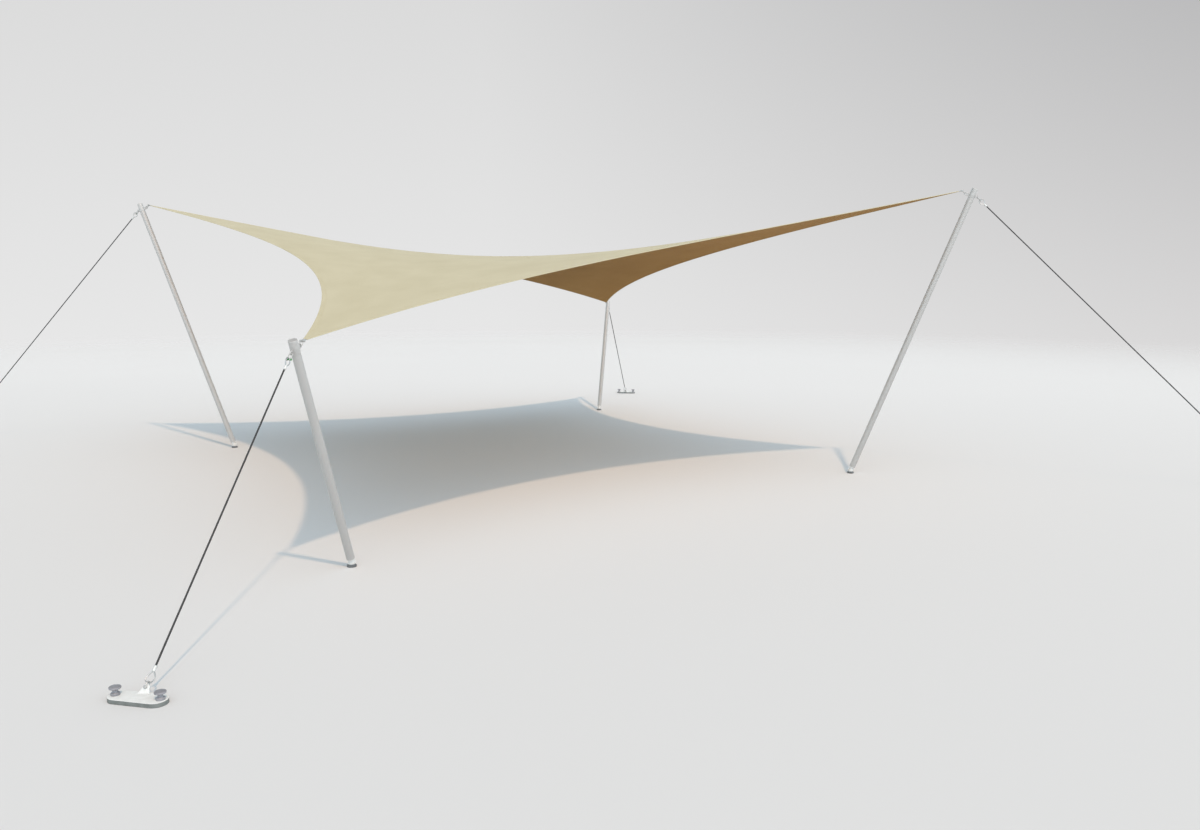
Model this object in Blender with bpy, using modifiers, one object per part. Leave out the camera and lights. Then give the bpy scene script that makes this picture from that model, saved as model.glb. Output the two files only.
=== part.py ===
"""Stretch tent: a saddle-shaped sail between two high and two low masts.

Every mast leans outwards on a ball foot. Its head carries the sail's corner on the inner side, and on
the outer side a stay rope that runs down to a staked ground plate.

Units are metres, +Z is up, and the origin lies on the ground under the middle of the sail. The high
masts stand on the X axis and the low ones on the Y axis. Each corner is modelled in its own frame, with
+X pointing outwards, and an empty turns that frame to its place.
"""

import math
from collections import namedtuple

import bmesh
import bpy
import numpy as np
from mathutils import Matrix, Vector

# Layout of the tent. Reach is the distance from the tent's middle, measured on the ground.
Side = namedtuple("Side", "foot_reach top_height mast_lean plate_reach sail_slope")
HIGH = Side(5.453, 4.40, math.radians(20.7), 11.58, math.radians(-11.5))
LOW = Side(6.27, 2.51, math.radians(22.35), 9.70, math.radians(11.5))
CORNERS = {
    "high_right": (HIGH, 0),
    "low_back": (LOW, 90),
    "high_left": (HIGH, 180),
    "low_front": (LOW, 270),
}

# Sail
SAIL_CELLS = 20
SAIL_THICKNESS = 0.004
EDGE_TO_WEB_FORCE = 0.68  # pull in the edge cord over the pull of the whole web that it holds
SAIL_TIP_CUT = 0.050  # from the shackle pin to where the cloth starts

# Mast: a stock tube, 90 mm across with a 4 mm wall
MAST_RADIUS = 0.045
MAST_WALL = 0.004
HEAD_LENGTH = 0.145
HEAD_EDGE = 0.006
SPIGOT_LENGTH = 0.080
INNER_LUG_DROP = 0.110  # from the mast's top down its axis to the lug that holds the sail
INNER_LUG_REACH = 0.100
OUTER_LUG_DROP = 0.102
OUTER_LUG_REACH = 0.072
LUG_THICKNESS = 0.012
LUG_HOLE_RADIUS = 0.013
LUG_END_RADIUS = 0.022

# Foot and base
BALL_RADIUS = 0.041
BALL_HEIGHT = 0.047
NECK_RADIUS = 0.034
COLLAR_TOP = 0.058
COLLAR_HEIGHT = 0.010
BASE_RADIUS = 0.052
BASE_THICKNESS = 0.020
BASE_LIP_RADIUS = 0.043
BASE_LIP_HEIGHT = 0.030

# Shackles
BOW_RADIUS = 0.017
BOW_BAR_RADIUS = 0.0055
SAIL_PITCH = 0.058  # a pitch runs from the middle of a bow's crown to its pin
UPPER_PITCH = 0.072
LOWER_PITCH = 0.048
PIN_RADIUS = 0.0065
PIN_EYE_RADIUS = 0.0125
PIN_HEAD_RADIUS = 0.0105
PIN_HEAD_LENGTH = 0.0075
CROWN_OFFSET = 0.0058  # how far the crown sits from the middle of the lug's hole
LINK_RISE = math.radians(42)  # the sail shackle stands up from its lug towards the sail's corner

# Sail clamp
CLAMP_EYE_RADIUS = 0.014
CLAMP_EYE_THICKNESS = 0.010
CLAMP_START = 0.024
CLAMP_THICKNESS = 0.012
CLAMP_NARROW = 0.022
CLAMP_WIDE = 0.038

# Stay rope
ROPE_RADIUS = 0.0085
FERRULE_RADIUS = 0.015
FERRULE_LENGTH = 0.050
EYE_LENGTH = 0.096
EYE_WIDTH = 0.074
EYE_BAR_RADIUS = 0.005

# Ground plate and stakes
PLATE_LENGTH = 0.48
PLATE_WIDTH = 0.17
PLATE_THICKNESS = 0.035
TAB_THICKNESS = 0.012
TAB_HOLE_RADIUS = 0.0075
TAB_END_RADIUS = 0.026
TAB_ROOT_WIDTH = 0.100
TAB_HOLE_INSET = 0.095  # how far the tab's hole lies inside the line of the stakes
TAB_HOLE_HEIGHT = 0.066
TAB_ROOT_DEPTH = 0.010
STAKE_SPACING = 0.38
STAKE_SHANK_RADIUS = 0.011
STAKE_HEAD_RADIUS = 0.0433
STAKE_CROWN_RADIUS = 0.034  # where the head's low dome turns over to its rim
STAKE_CROWN_DROP = 0.003
STAKE_DOME_HEIGHT = 0.007
STAKE_RIM_HEIGHT = 0.012
STAKE_HEAD_TAPER = 0.012
STAKE_NECK_RADIUS = 0.020
STAKE_FLANGE_RADIUS = 0.034
STAKE_FLANGE_HEIGHT = 0.016
STAKE_FLANGE_TAPER = 0.010
STAKE_HEIGHT = 0.070

GAP = 0.0003  # between pieces that touch
SEAT = 0.0001  # between the true rounds of a bar and what it pulls on; their facets lie further apart
MERGE = 0.00001
ROUND_STEPS = 16
MAST_STEPS = 20
BAR_SIDES = 6
SMALL_STEPS = 10

BORE_RADIUS = MAST_RADIUS - MAST_WALL


def clear_scene():
    for thing in list(bpy.data.objects):
        bpy.data.objects.remove(thing, do_unlink=True)


def material(name, colour, roughness, metallic):
    finish = bpy.data.materials.new(name)
    finish.use_nodes = True
    shader = finish.node_tree.nodes["Principled BSDF"]
    shader.inputs["Base Color"].default_value = (*colour, 1.0)
    shader.inputs["Roughness"].default_value = roughness
    shader.inputs["Metallic"].default_value = metallic
    return finish


def place(name, mesh, finish, frame, matrix=None):
    """Puts one named piece of the tent into a frame."""
    mesh.materials.clear()
    mesh.materials.append(finish)
    piece = bpy.data.objects.new(name, mesh)
    parts.objects.link(piece)
    piece.parent = frame
    if matrix is not None:
        piece.matrix_local = matrix
    return piece


def frame_in(parent, name, matrix):
    frame = bpy.data.objects.new(name, None)
    parts.objects.link(frame)
    frame.parent = parent
    frame.matrix_local = matrix
    return frame


def evaluated(source):
    """The welded mesh that a curve or a modified object draws. The source is removed."""
    bpy.context.scene.collection.objects.link(source)
    depsgraph = bpy.context.evaluated_depsgraph_get()
    mesh = bpy.data.meshes.new_from_object(source.evaluated_get(depsgraph))
    bpy.data.objects.remove(source)
    shape = bmesh.new()
    shape.from_mesh(mesh)
    bmesh.ops.remove_doubles(shape, verts=shape.verts, dist=MERGE)
    shape.to_mesh(mesh)
    shape.free()
    return mesh


def turned(profile, steps=ROUND_STEPS, closed=False):
    """A profile of (radius, height) points, turned round Z. It runs down its outer side."""
    count = len(profile)
    edges = [(n, n + 1) for n in range(count - 1)]
    if closed:
        edges.append((count - 1, 0))
    mesh = bpy.data.meshes.new("profile")
    mesh.from_pydata([(radius, 0, height) for radius, height in profile], edges, [])
    source = bpy.data.objects.new("profile", mesh)
    screw = source.modifiers.new("turn", "SCREW")
    screw.steps = screw.render_steps = steps
    screw.use_merge_vertices = True
    screw.merge_threshold = MERGE
    result = evaluated(source)
    shade_smooth(result)
    return result


def shade_smooth(mesh, sharp_above=math.radians(35)):
    mesh.shade_smooth()
    mesh.set_sharp_from_angle(angle=sharp_above)


def arc(radius, start, end, count, middle=(0, 0)):
    """Points (across, up) on an arc, with its angles measured from the first axis."""
    angles = [start + (end - start) * n / (count - 1) for n in range(count)]
    return [(middle[0] + radius * math.cos(a), middle[1] + radius * math.sin(a)) for a in angles]


def hole(radius, middle=(0, 0), count=SMALL_STEPS):
    """A round hole's outline, whose straight sides touch its circle from outside."""
    corner_radius = radius / math.cos(math.pi / count)
    return arc(corner_radius, 0, math.tau * (count - 1) / count, count, middle)


def flat_plate(outlines, thickness):
    """A plate in the XY plane. The first outline is its edge, and the others are its holes."""
    curve = bpy.data.curves.new("outline", "CURVE")
    curve.dimensions = "2D"
    curve.fill_mode = "BOTH"
    curve.extrude = thickness / 2
    for outline in outlines:
        spline = curve.splines.new("POLY")
        spline.points.add(len(outline) - 1)
        for point, (x, y) in zip(spline.points, outline):
            point.co = (x, y, 0, 1)
        spline.use_cyclic_u = True
    return evaluated(bpy.data.objects.new("outline", curve))


def bar(points, radius):
    """A round bar along a row of points, with closed ends."""
    curve = bpy.data.curves.new("bar", "CURVE")
    curve.dimensions = "3D"
    curve.bevel_depth = radius
    curve.bevel_resolution = BAR_SIDES // 2 - 2
    curve.use_fill_caps = True
    spline = curve.splines.new("POLY")
    spline.points.add(len(points) - 1)
    for point, place_at in zip(spline.points, points):
        point.co = (*place_at, 1)
    return evaluated(bpy.data.objects.new("bar", curve))


def disc(radius, length, middle, steps=SMALL_STEPS):
    """A short cylinder on an axis parallel to Y."""
    shape = bmesh.new()
    bmesh.ops.create_cone(
        shape,
        cap_ends=True,
        segments=steps,
        radius1=radius,
        radius2=radius,
        depth=length,
        matrix=Matrix.Translation(middle) @ Matrix.Rotation(math.pi / 2, 4, "X"),
    )
    mesh = bpy.data.meshes.new("disc")
    shape.to_mesh(mesh)
    shape.free()
    return mesh


def joined(first, *others):
    """The union of several closed meshes as one."""
    result = first
    for other in others:
        source = bpy.data.objects.new("base", result)
        tool = bpy.data.objects.new("tool", other)
        cutters.objects.link(tool)
        union = source.modifiers.new("union", "BOOLEAN")
        union.operation = "UNION"
        union.solver = "EXACT"
        union.object = tool
        result = evaluated(source)
        bpy.data.objects.remove(tool)
    return result


UPRIGHT = Matrix.Rotation(math.pi / 2, 4, "X")  # lays a plate from the XY plane into the XZ plane
CROSSWISE = Matrix.Rotation(math.pi / 2, 4, "Z") @ UPRIGHT  # lays it into the YZ plane


def mast_head():
    """Plug in the top of the tube, with one lug for the sail and one for the stay rope.

    Its frame has the mast's axis as Z, with 0 at the mast's top.
    """
    cap = turned(
        [
            (0, 0),
            (MAST_RADIUS - HEAD_EDGE, 0),
            (MAST_RADIUS - HEAD_EDGE / 3, -HEAD_EDGE / 3),
            (MAST_RADIUS, -HEAD_EDGE),
            (MAST_RADIUS, -HEAD_LENGTH),
            (BORE_RADIUS - GAP, -HEAD_LENGTH),
            (BORE_RADIUS - GAP, -HEAD_LENGTH - SPIGOT_LENGTH),
            (0, -HEAD_LENGTH - SPIGOT_LENGTH),
        ],
        MAST_STEPS,
    )
    lugs = [
        lug(-INNER_LUG_REACH, -INNER_LUG_DROP),
        lug(OUTER_LUG_REACH, -OUTER_LUG_DROP),
    ]
    head = joined(cap, *lugs)
    shade_smooth(head)
    return head


def lug(reach, height):
    """Eye plate in the plane of the mast and its rope, from inside the cap out to its hole."""
    outward = math.copysign(1, reach)
    root = outward * MAST_RADIUS / 2
    start, end = (-math.pi / 2, math.pi / 2) if outward > 0 else (math.pi / 2, 3 * math.pi / 2)
    edge = arc(LUG_END_RADIUS, start, end, 9, (reach, height))
    edge = edge + [(root, edge[-1][1]), (root, edge[0][1])]
    plate = flat_plate([edge, hole(LUG_HOLE_RADIUS, (reach, height), ROUND_STEPS)], LUG_THICKNESS)
    plate.transform(UPRIGHT)
    return plate


def mast_foot():
    """Plug in the bottom of the tube with a collar and a ball. The ball's middle is the origin."""
    ball = arc(BALL_RADIUS, math.acos(NECK_RADIUS / BALL_RADIUS), -math.pi / 2, 7)
    return turned(
        [
            (0, COLLAR_TOP + SPIGOT_LENGTH),
            (BORE_RADIUS - GAP, COLLAR_TOP + SPIGOT_LENGTH),
            (BORE_RADIUS - GAP, COLLAR_TOP),
            (MAST_RADIUS, COLLAR_TOP),
            (MAST_RADIUS, COLLAR_TOP - COLLAR_HEIGHT),
            (NECK_RADIUS, COLLAR_TOP - COLLAR_HEIGHT),
            *ball[:-1],
            (0, -BALL_RADIUS),
        ],
        MAST_STEPS,
    )


def base_disc():
    """Disc on the ground with a dish and a raised lip for the ball.

    The dish is a little wide, so that the middles of its flat facets clear the ball as well.
    """
    points = 5
    lip_angle = math.asin((BASE_LIP_HEIGHT - BALL_HEIGHT) / BALL_RADIUS)
    half_step = (lip_angle + math.pi / 2) / (points - 1) / 2
    dish_radius = (BALL_RADIUS + GAP) / math.cos(half_step) / math.cos(math.pi / MAST_STEPS)
    dish = arc(dish_radius, -math.pi / 2, lip_angle, points, (0, BALL_HEIGHT))
    return turned(
        [
            (0, BALL_HEIGHT - dish_radius),
            *dish[1:],
            (BASE_LIP_RADIUS - HEAD_EDGE / 3, BASE_LIP_HEIGHT),
            (BASE_LIP_RADIUS, BASE_THICKNESS),
            (BASE_RADIUS - HEAD_EDGE / 3, BASE_THICKNESS),
            (BASE_RADIUS, BASE_THICKNESS - HEAD_EDGE / 3),
            (BASE_RADIUS, 0),
            (0, 0),
        ],
        MAST_STEPS,
    )


def shackle(pitch):
    """Bow and pin. It pulls along Z, with the crown of its bow at 0 and its pin along Y."""
    crown = [(0, y, z) for z, y in arc(BOW_RADIUS, math.pi * 1.5, math.pi * 0.5, 7, (BOW_RADIUS, 0))]
    legs = [(0, -BOW_RADIUS, pitch)] + crown + [(0, BOW_RADIUS, pitch)]
    outer_face = BOW_RADIUS + BOW_BAR_RADIUS
    head_middle = outer_face + PIN_HEAD_LENGTH / 2 + MERGE
    pieces = [disc(PIN_RADIUS, 2 * outer_face + PIN_HEAD_LENGTH, (0, 0, pitch))]
    for side in (-1, 1):
        pieces.append(disc(PIN_EYE_RADIUS, 2 * BOW_BAR_RADIUS, (0, side * BOW_RADIUS, pitch)))
        pieces.append(disc(PIN_HEAD_RADIUS, PIN_HEAD_LENGTH, (0, side * head_middle, pitch)))
    return joined(bar(legs, BOW_BAR_RADIUS), *pieces)


def sail_clamp():
    """Eye on the shackle pin and the pair of jaws that grips the cloth. The pin's middle is 0."""
    eye_edge = arc(CLAMP_EYE_RADIUS, 0, math.pi, 9)[::-1]
    jaw_middle = CLAMP_THICKNESS / 2
    eye_edge = [(x, -y) for x, y in eye_edge] + [
        (jaw_middle, CLAMP_START + jaw_middle),
        (-jaw_middle, CLAMP_START + jaw_middle),
    ]
    eye = flat_plate([eye_edge, hole(PIN_RADIUS + SEAT)], CLAMP_EYE_THICKNESS)
    eye.transform(UPRIGHT)
    jaw_end = SAIL_TIP_CUT - GAP
    jaws = flat_plate(
        [
            [
                (-CLAMP_NARROW / 2, CLAMP_START),
                (CLAMP_NARROW / 2, CLAMP_START),
                (CLAMP_WIDE / 2, jaw_end),
                (-CLAMP_WIDE / 2, jaw_end),
            ]
        ],
        CLAMP_THICKNESS,
    )
    jaws.transform(CROSSWISE)
    return joined(jaws, eye)


def rope_eye():
    """Drop-shaped loop in the XZ plane. Its far end is at 0, and its legs run down into a ferrule."""
    widest = 0.77  # the most that the drop's formula gives
    first_turn = 0.50  # where the legs are about as far apart as their own thickness
    count = 11
    points = []
    for n in range(count):
        turn = first_turn + (math.tau - 2 * first_turn) * n / (count - 1)
        across = EYE_WIDTH / 2 * math.sin(turn) * math.sin(turn / 2) / widest
        points.append((across, 0, EYE_LENGTH / 2 * (1 + math.cos(turn))))
    return bar(points, EYE_BAR_RADIUS)


def stay_rope(length):
    """Rope with a ferrule and an eye at each end, turned a quarter from each other.

    It runs down along Z. Length is between the far ends of the two eyes' centre lines.
    """
    upper_end = EYE_LENGTH - 2 * EYE_BAR_RADIUS
    lower_end = length - upper_end
    taper = FERRULE_RADIUS - ROPE_RADIUS
    rope = turned(
        [
            (0, lower_end),
            (FERRULE_RADIUS, lower_end),
            (FERRULE_RADIUS, lower_end - FERRULE_LENGTH + taper),
            (ROPE_RADIUS, lower_end - FERRULE_LENGTH),
            (ROPE_RADIUS, upper_end + FERRULE_LENGTH),
            (FERRULE_RADIUS, upper_end + FERRULE_LENGTH - taper),
            (FERRULE_RADIUS, upper_end),
            (0, upper_end),
        ],
        SMALL_STEPS,
    )
    upper_eye = rope_eye()
    lower_eye = rope_eye()
    upside_down = Matrix.Translation((0, 0, length)) @ Matrix.Rotation(math.pi, 4, "X")
    lower_eye.transform(upside_down @ Matrix.Rotation(math.pi / 2, 4, "Z"))
    whole = joined(rope, upper_eye, lower_eye)
    shade_smooth(whole)
    return whole


def ground_plate(stay, hole_to_top):
    """Long plate with round ends, two stake holes and a leaning tab for the stay rope.

    Its frame is the corner's. The matrix stay puts the tab's hole at 0 with Z down along the rope, and
    hole_to_top is how far along the rope the plate's top surface lies.
    """
    end_radius = PLATE_WIDTH / 2
    straight = PLATE_LENGTH / 2 - end_radius
    edge = arc(end_radius, 0, math.pi, 13, (0, straight))
    edge += arc(end_radius, math.pi, math.tau, 13, (0, -straight))
    holes = [hole(STAKE_SHANK_RADIUS + GAP, (0, side * STAKE_SPACING / 2)) for side in (-1, 1)]
    plate = flat_plate([edge, *holes], PLATE_THICKNESS)
    plate.transform(Matrix.Translation((0, 0, PLATE_THICKNESS / 2)))
    root = hole_to_top + TAB_ROOT_DEPTH
    tab_edge = arc(TAB_END_RADIUS, math.pi, math.tau, 11)
    tab_edge += [(TAB_ROOT_WIDTH / 2, root), (-TAB_ROOT_WIDTH / 2, root)]
    tab = flat_plate([tab_edge, hole(TAB_HOLE_RADIUS)], TAB_THICKNESS)
    tab.transform(stay @ CROSSWISE)
    return joined(plate, tab)


def stake():
    """Stake with a mushroom head and a flange, standing on the plate's top. The ground is at 0."""
    top = PLATE_THICKNESS + STAKE_HEIGHT
    rim_top = top - STAKE_DOME_HEIGHT
    rim_end = rim_top - STAKE_RIM_HEIGHT
    flange_top = PLATE_THICKNESS + STAKE_FLANGE_HEIGHT
    return turned(
        [
            (0, top),
            (STAKE_CROWN_RADIUS, top - STAKE_CROWN_DROP),
            (STAKE_HEAD_RADIUS, rim_top),
            (STAKE_HEAD_RADIUS, rim_end),
            (STAKE_NECK_RADIUS, rim_end - STAKE_HEAD_TAPER),
            (STAKE_NECK_RADIUS, flange_top + STAKE_FLANGE_TAPER),
            (STAKE_FLANGE_RADIUS, flange_top),
            (STAKE_FLANGE_RADIUS, PLATE_THICKNESS + GAP),
            (STAKE_SHANK_RADIUS, PLATE_THICKNESS + GAP),
            (STAKE_SHANK_RADIUS, 0),
            (0, 0),
        ],
        SMALL_STEPS,
    )


def stretched_net(corners, cells, edge_force):
    """Where the knots of a square net rest when its four corners are held.

    Every string pulls in proportion to its own length: those of the web by 1, and those along the
    four edges by edge_force. Each knot then lies where the pulls on it cancel.
    """
    knots = cells + 1
    index = np.arange(knots * knots).reshape(knots, knots)
    pull = np.zeros((knots * knots, knots * knots))
    for grid in (index, index.T):
        for row in range(knots):
            force = edge_force if row in (0, cells) else 1.0
            for first, second in zip(grid[row, :-1], grid[row, 1:]):
                pull[first, first] += force
                pull[second, second] += force
                pull[first, second] -= force
                pull[second, first] -= force
    held = [index[0, 0], index[cells, 0], index[cells, cells], index[0, cells]]
    free = [n for n in range(knots * knots) if n not in held]
    places = np.zeros((knots * knots, 3))
    places[held] = corners
    places[free] = np.linalg.solve(pull[np.ix_(free, free)], -pull[np.ix_(free, held)] @ places[held])
    return places.reshape(knots, knots, 3)


def canopy(corners, pull_directions):
    """The sail: an open sheet on the net, cut off short of each corner and then given its thickness."""
    net = stretched_net(np.array(corners), SAIL_CELLS, EDGE_TO_WEB_FORCE * SAIL_CELLS)
    sheet = bmesh.new()
    grid = [[sheet.verts.new(knot) for knot in row] for row in net]
    for i in range(SAIL_CELLS):
        for j in range(SAIL_CELLS):
            sheet.faces.new((grid[i][j], grid[i + 1][j], grid[i + 1][j + 1], grid[i][j + 1]))
    for corner, inward in zip(corners, pull_directions):
        bmesh.ops.bisect_plane(
            sheet,
            geom=sheet.verts[:] + sheet.edges[:] + sheet.faces[:],
            dist=MERGE,
            plane_co=corner + SAIL_TIP_CUT * inward,
            plane_no=-inward,
            clear_outer=True,
        )
    bmesh.ops.recalc_face_normals(sheet, faces=sheet.faces)
    mesh = bpy.data.meshes.new("canopy")
    sheet.to_mesh(mesh)
    sheet.free()
    return mesh


def turn_down(angle):
    """Turns Z over towards +X by an angle."""
    return Matrix.Rotation(angle, 4, "Y")


def build_corner(name, side, azimuth):
    """One mast with its foot, head, sail link, stay rope and ground plate.

    Returns the place of the pin that holds the sail and the direction from it into the sail.
    """
    turn = Matrix.Rotation(math.radians(azimuth), 4, "Z")
    corner = frame_in(None, f"{name}_corner", turn)
    foot_place = Vector((side.foot_reach + BALL_HEIGHT * math.tan(side.mast_lean), 0, BALL_HEIGHT))
    place(
        f"{name}_base",
        shapes["base"],
        finishes["galvanised"],
        corner,
        Matrix.Translation((foot_place.x, 0, 0)),
    )

    axis_place = Matrix.Translation(foot_place) @ turn_down(side.mast_lean)
    axis = frame_in(corner, f"{name}_mast_axis", axis_place)
    top = (side.top_height - BALL_HEIGHT) / math.cos(side.mast_lean)
    tube = turned(
        [
            (MAST_RADIUS, top - HEAD_LENGTH - GAP),
            (MAST_RADIUS, COLLAR_TOP + GAP),
            (BORE_RADIUS, COLLAR_TOP + GAP),
            (BORE_RADIUS, top - HEAD_LENGTH - GAP),
        ],
        MAST_STEPS,
        closed=True,
    )
    place(f"{name}_mast", tube, finishes["aluminium"], axis)
    place(f"{name}_mast_foot", shapes["foot"], finishes["pale"], axis)
    place(f"{name}_mast_head", shapes["head"], finishes["cast"], axis, Matrix.Translation((0, 0, top)))

    # Sail link: the shackle stands up from the lug, and the clamp on its pin lies along the sail
    inner_hole = axis_place @ Vector((-INNER_LUG_REACH, 0, top - INNER_LUG_DROP))
    link_place = Matrix.Translation(inner_hole) @ turn_down(LINK_RISE - math.pi / 2)
    link = frame_in(corner, f"{name}_sail_link", link_place)
    place(
        f"{name}_sail_shackle",
        shapes["sail_shackle"],
        finishes["steel"],
        link,
        Matrix.Translation((0, 0, CROWN_OFFSET)),
    )
    sail_pin = link_place @ Vector((0, 0, CROWN_OFFSET + SAIL_PITCH))
    clamp_place = Matrix.Translation(sail_pin) @ turn_down(side.sail_slope - math.pi / 2)
    place(f"{name}_sail_clamp", shapes["clamp"], finishes["steel"], corner, clamp_place)

    # Stay rope, straight from the outer lug to the tab of the ground plate
    outer_hole = axis_place @ Vector((OUTER_LUG_REACH, 0, top - OUTER_LUG_DROP))
    tab_hole = Vector((side.plate_reach - TAB_HOLE_INSET, 0, TAB_HOLE_HEIGHT))
    span = tab_hole - outer_hole
    stay_turn = turn_down(math.atan2(span.x, span.z))
    stay = frame_in(corner, f"{name}_stay", Matrix.Translation(outer_hole) @ stay_turn)
    place(
        f"{name}_upper_shackle",
        shapes["upper_shackle"],
        finishes["steel"],
        stay,
        Matrix.Translation((0, 0, CROWN_OFFSET)),
    )
    eye_start = CROWN_OFFSET + UPPER_PITCH - PIN_RADIUS - EYE_BAR_RADIUS - SEAT
    lower_pin = span.length - (TAB_HOLE_RADIUS - PIN_RADIUS - SEAT)
    lower_crown = lower_pin - LOWER_PITCH
    eye_end = lower_crown + BOW_BAR_RADIUS + EYE_BAR_RADIUS + SEAT
    place(
        f"{name}_stay_rope",
        stay_rope(eye_end - eye_start),
        finishes["rope"],
        stay,
        Matrix.Translation((0, 0, eye_start)),
    )
    place(
        f"{name}_lower_shackle",
        shapes["lower_shackle"],
        finishes["steel"],
        stay,
        Matrix.Translation((0, 0, lower_crown)) @ Matrix.Rotation(math.pi / 2, 4, "Z"),
    )

    # Ground plate and its stakes
    to_plate = Matrix.Translation((side.plate_reach, 0, 0))
    tab_place = to_plate.inverted() @ Matrix.Translation(tab_hole) @ stay_turn
    hole_to_top = (TAB_HOLE_HEIGHT - PLATE_THICKNESS) * span.length / -span.z
    place(
        f"{name}_ground_plate",
        ground_plate(tab_place, hole_to_top),
        finishes["galvanised"],
        corner,
        to_plate,
    )
    for hand, label in ((-1, "stake_1"), (1, "stake_2")):
        spot = Matrix.Translation((side.plate_reach, hand * STAKE_SPACING / 2, 0))
        place(f"{name}_{label}", shapes["stake"], finishes["stake"], corner, spot)

    inward = (turn @ clamp_place).to_3x3() @ Vector((0, 0, 1))
    return turn @ sail_pin, inward


clear_scene()
parts = bpy.data.collections.new("stretch_tent")
cutters = bpy.data.collections.new("cutters")
bpy.context.scene.collection.children.link(parts)
bpy.context.scene.collection.children.link(cutters)

finishes = {
    "cloth": material("sail_cloth", (0.64, 0.58, 0.42), 0.85, 0.0),
    "aluminium": material("mast_aluminium", (0.56, 0.56, 0.55), 0.38, 1.0),
    "cast": material("head_aluminium", (0.60, 0.60, 0.59), 0.45, 1.0),
    "pale": material("foot_plastic", (0.80, 0.80, 0.78), 0.50, 0.0),
    "steel": material("shackle_steel", (0.50, 0.50, 0.50), 0.35, 1.0),
    "rope": material("stay_rope", (0.06, 0.06, 0.06), 0.60, 0.0),
    "galvanised": material("plate_steel", (0.72, 0.73, 0.72), 0.45, 0.8),
    "stake": material("stake_steel", (0.24, 0.24, 0.25), 0.50, 0.8),
}
shapes = {
    "head": mast_head(),
    "foot": mast_foot(),
    "base": base_disc(),
    "sail_shackle": shackle(SAIL_PITCH),
    "upper_shackle": shackle(UPPER_PITCH),
    "lower_shackle": shackle(LOWER_PITCH),
    "clamp": sail_clamp(),
    "stake": stake(),
}

pins = [build_corner(name, *where) for name, where in CORNERS.items()]
sail = place(
    "canopy",
    canopy([pin for pin, _ in pins], [inward for _, inward in pins]),
    finishes["cloth"],
    None,
)
thickness = sail.modifiers.new("thickness", "SOLIDIFY")
thickness.thickness = SAIL_THICKNESS
thickness.offset = 0
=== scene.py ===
"""Looks of the stretch tent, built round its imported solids.

Every piece stands where the solids say. The tent's corners are alike, so each fitting is made once in
its own frame and laid into the four corners. Units are metres, +Z is up.
"""

import math
from collections import namedtuple

import bmesh
import bpy
import numpy as np
from mathutils import Matrix, Vector


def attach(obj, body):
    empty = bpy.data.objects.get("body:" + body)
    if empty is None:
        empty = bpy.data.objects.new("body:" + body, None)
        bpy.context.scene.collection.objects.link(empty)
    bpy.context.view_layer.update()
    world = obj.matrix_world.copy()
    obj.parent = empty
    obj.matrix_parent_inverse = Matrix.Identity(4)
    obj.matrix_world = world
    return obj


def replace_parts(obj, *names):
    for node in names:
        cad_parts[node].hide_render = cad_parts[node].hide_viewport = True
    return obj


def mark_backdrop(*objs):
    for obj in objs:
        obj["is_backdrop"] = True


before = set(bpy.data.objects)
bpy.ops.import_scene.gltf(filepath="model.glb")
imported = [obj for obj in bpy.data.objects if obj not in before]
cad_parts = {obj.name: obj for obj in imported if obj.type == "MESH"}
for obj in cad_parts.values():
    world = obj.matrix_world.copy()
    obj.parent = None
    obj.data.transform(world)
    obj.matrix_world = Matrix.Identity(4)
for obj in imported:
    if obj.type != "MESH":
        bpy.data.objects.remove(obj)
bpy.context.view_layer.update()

# Layout of the tent, as in its source. Reach is measured on the ground from the tent's middle.
Side = namedtuple("Side", "foot_reach top_height mast_lean plate_reach sail_slope")
HIGH = Side(5.453, 4.40, math.radians(20.7), 11.58, math.radians(-11.5))
LOW = Side(6.27, 2.51, math.radians(22.35), 9.70, math.radians(11.5))
CORNERS = {
    "high_right": (HIGH, 0),
    "low_back": (LOW, 90),
    "high_left": (HIGH, 180),
    "low_front": (LOW, 270),
}
# The painted end of a shackle's pin shows on the same side of both high masts.
PAINTED_END = {"high_right": 1, "low_back": 1, "high_left": -1, "low_front": 1}

# Sail
NET_CELLS = 40
SHEET_CELLS = 80
EDGE_TO_WEB_FORCE = 0.68
CLOTH_THICKNESS = 0.002
CLOTH_START = 0.032  # from the shackle pin, between the clamp's jaws
CLOTH_WIDTH = 10.2  # of the flat cut, along its edges' chords
HEM_START = 0.048
HEM_STEP = 0.06
HEM_WIDTH = 0.045
HEM_LEAF = 0.0012
HEM_BEAD = 0.0048
PATCH_START = 0.050
PATCH_LENGTH = 0.36
PATCH_LIFT = 0.0016
PATCH_THICKNESS = 0.0015

# Mast, head and foot
MAST_RADIUS = 0.045
MAST_WALL = 0.004
BORE_RADIUS = MAST_RADIUS - MAST_WALL
HEAD_LENGTH = 0.145
HEAD_EDGE = 0.006
INNER_LUG_DROP = 0.110
INNER_LUG_REACH = 0.100
OUTER_LUG_DROP = 0.102
OUTER_LUG_REACH = 0.072
LUG_THICKNESS = 0.012
LUG_HOLE_RADIUS = 0.013
LUG_END_RADIUS = 0.022
BALL_RADIUS = 0.041
BALL_HEIGHT = 0.047
NECK_RADIUS = 0.034
COLLAR_TOP = 0.058
COLLAR_HEIGHT = 0.010
BASE_RADIUS = 0.052
BASE_THICKNESS = 0.020
BASE_LIP_RADIUS = 0.043
BASE_LIP_HEIGHT = 0.030

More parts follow.
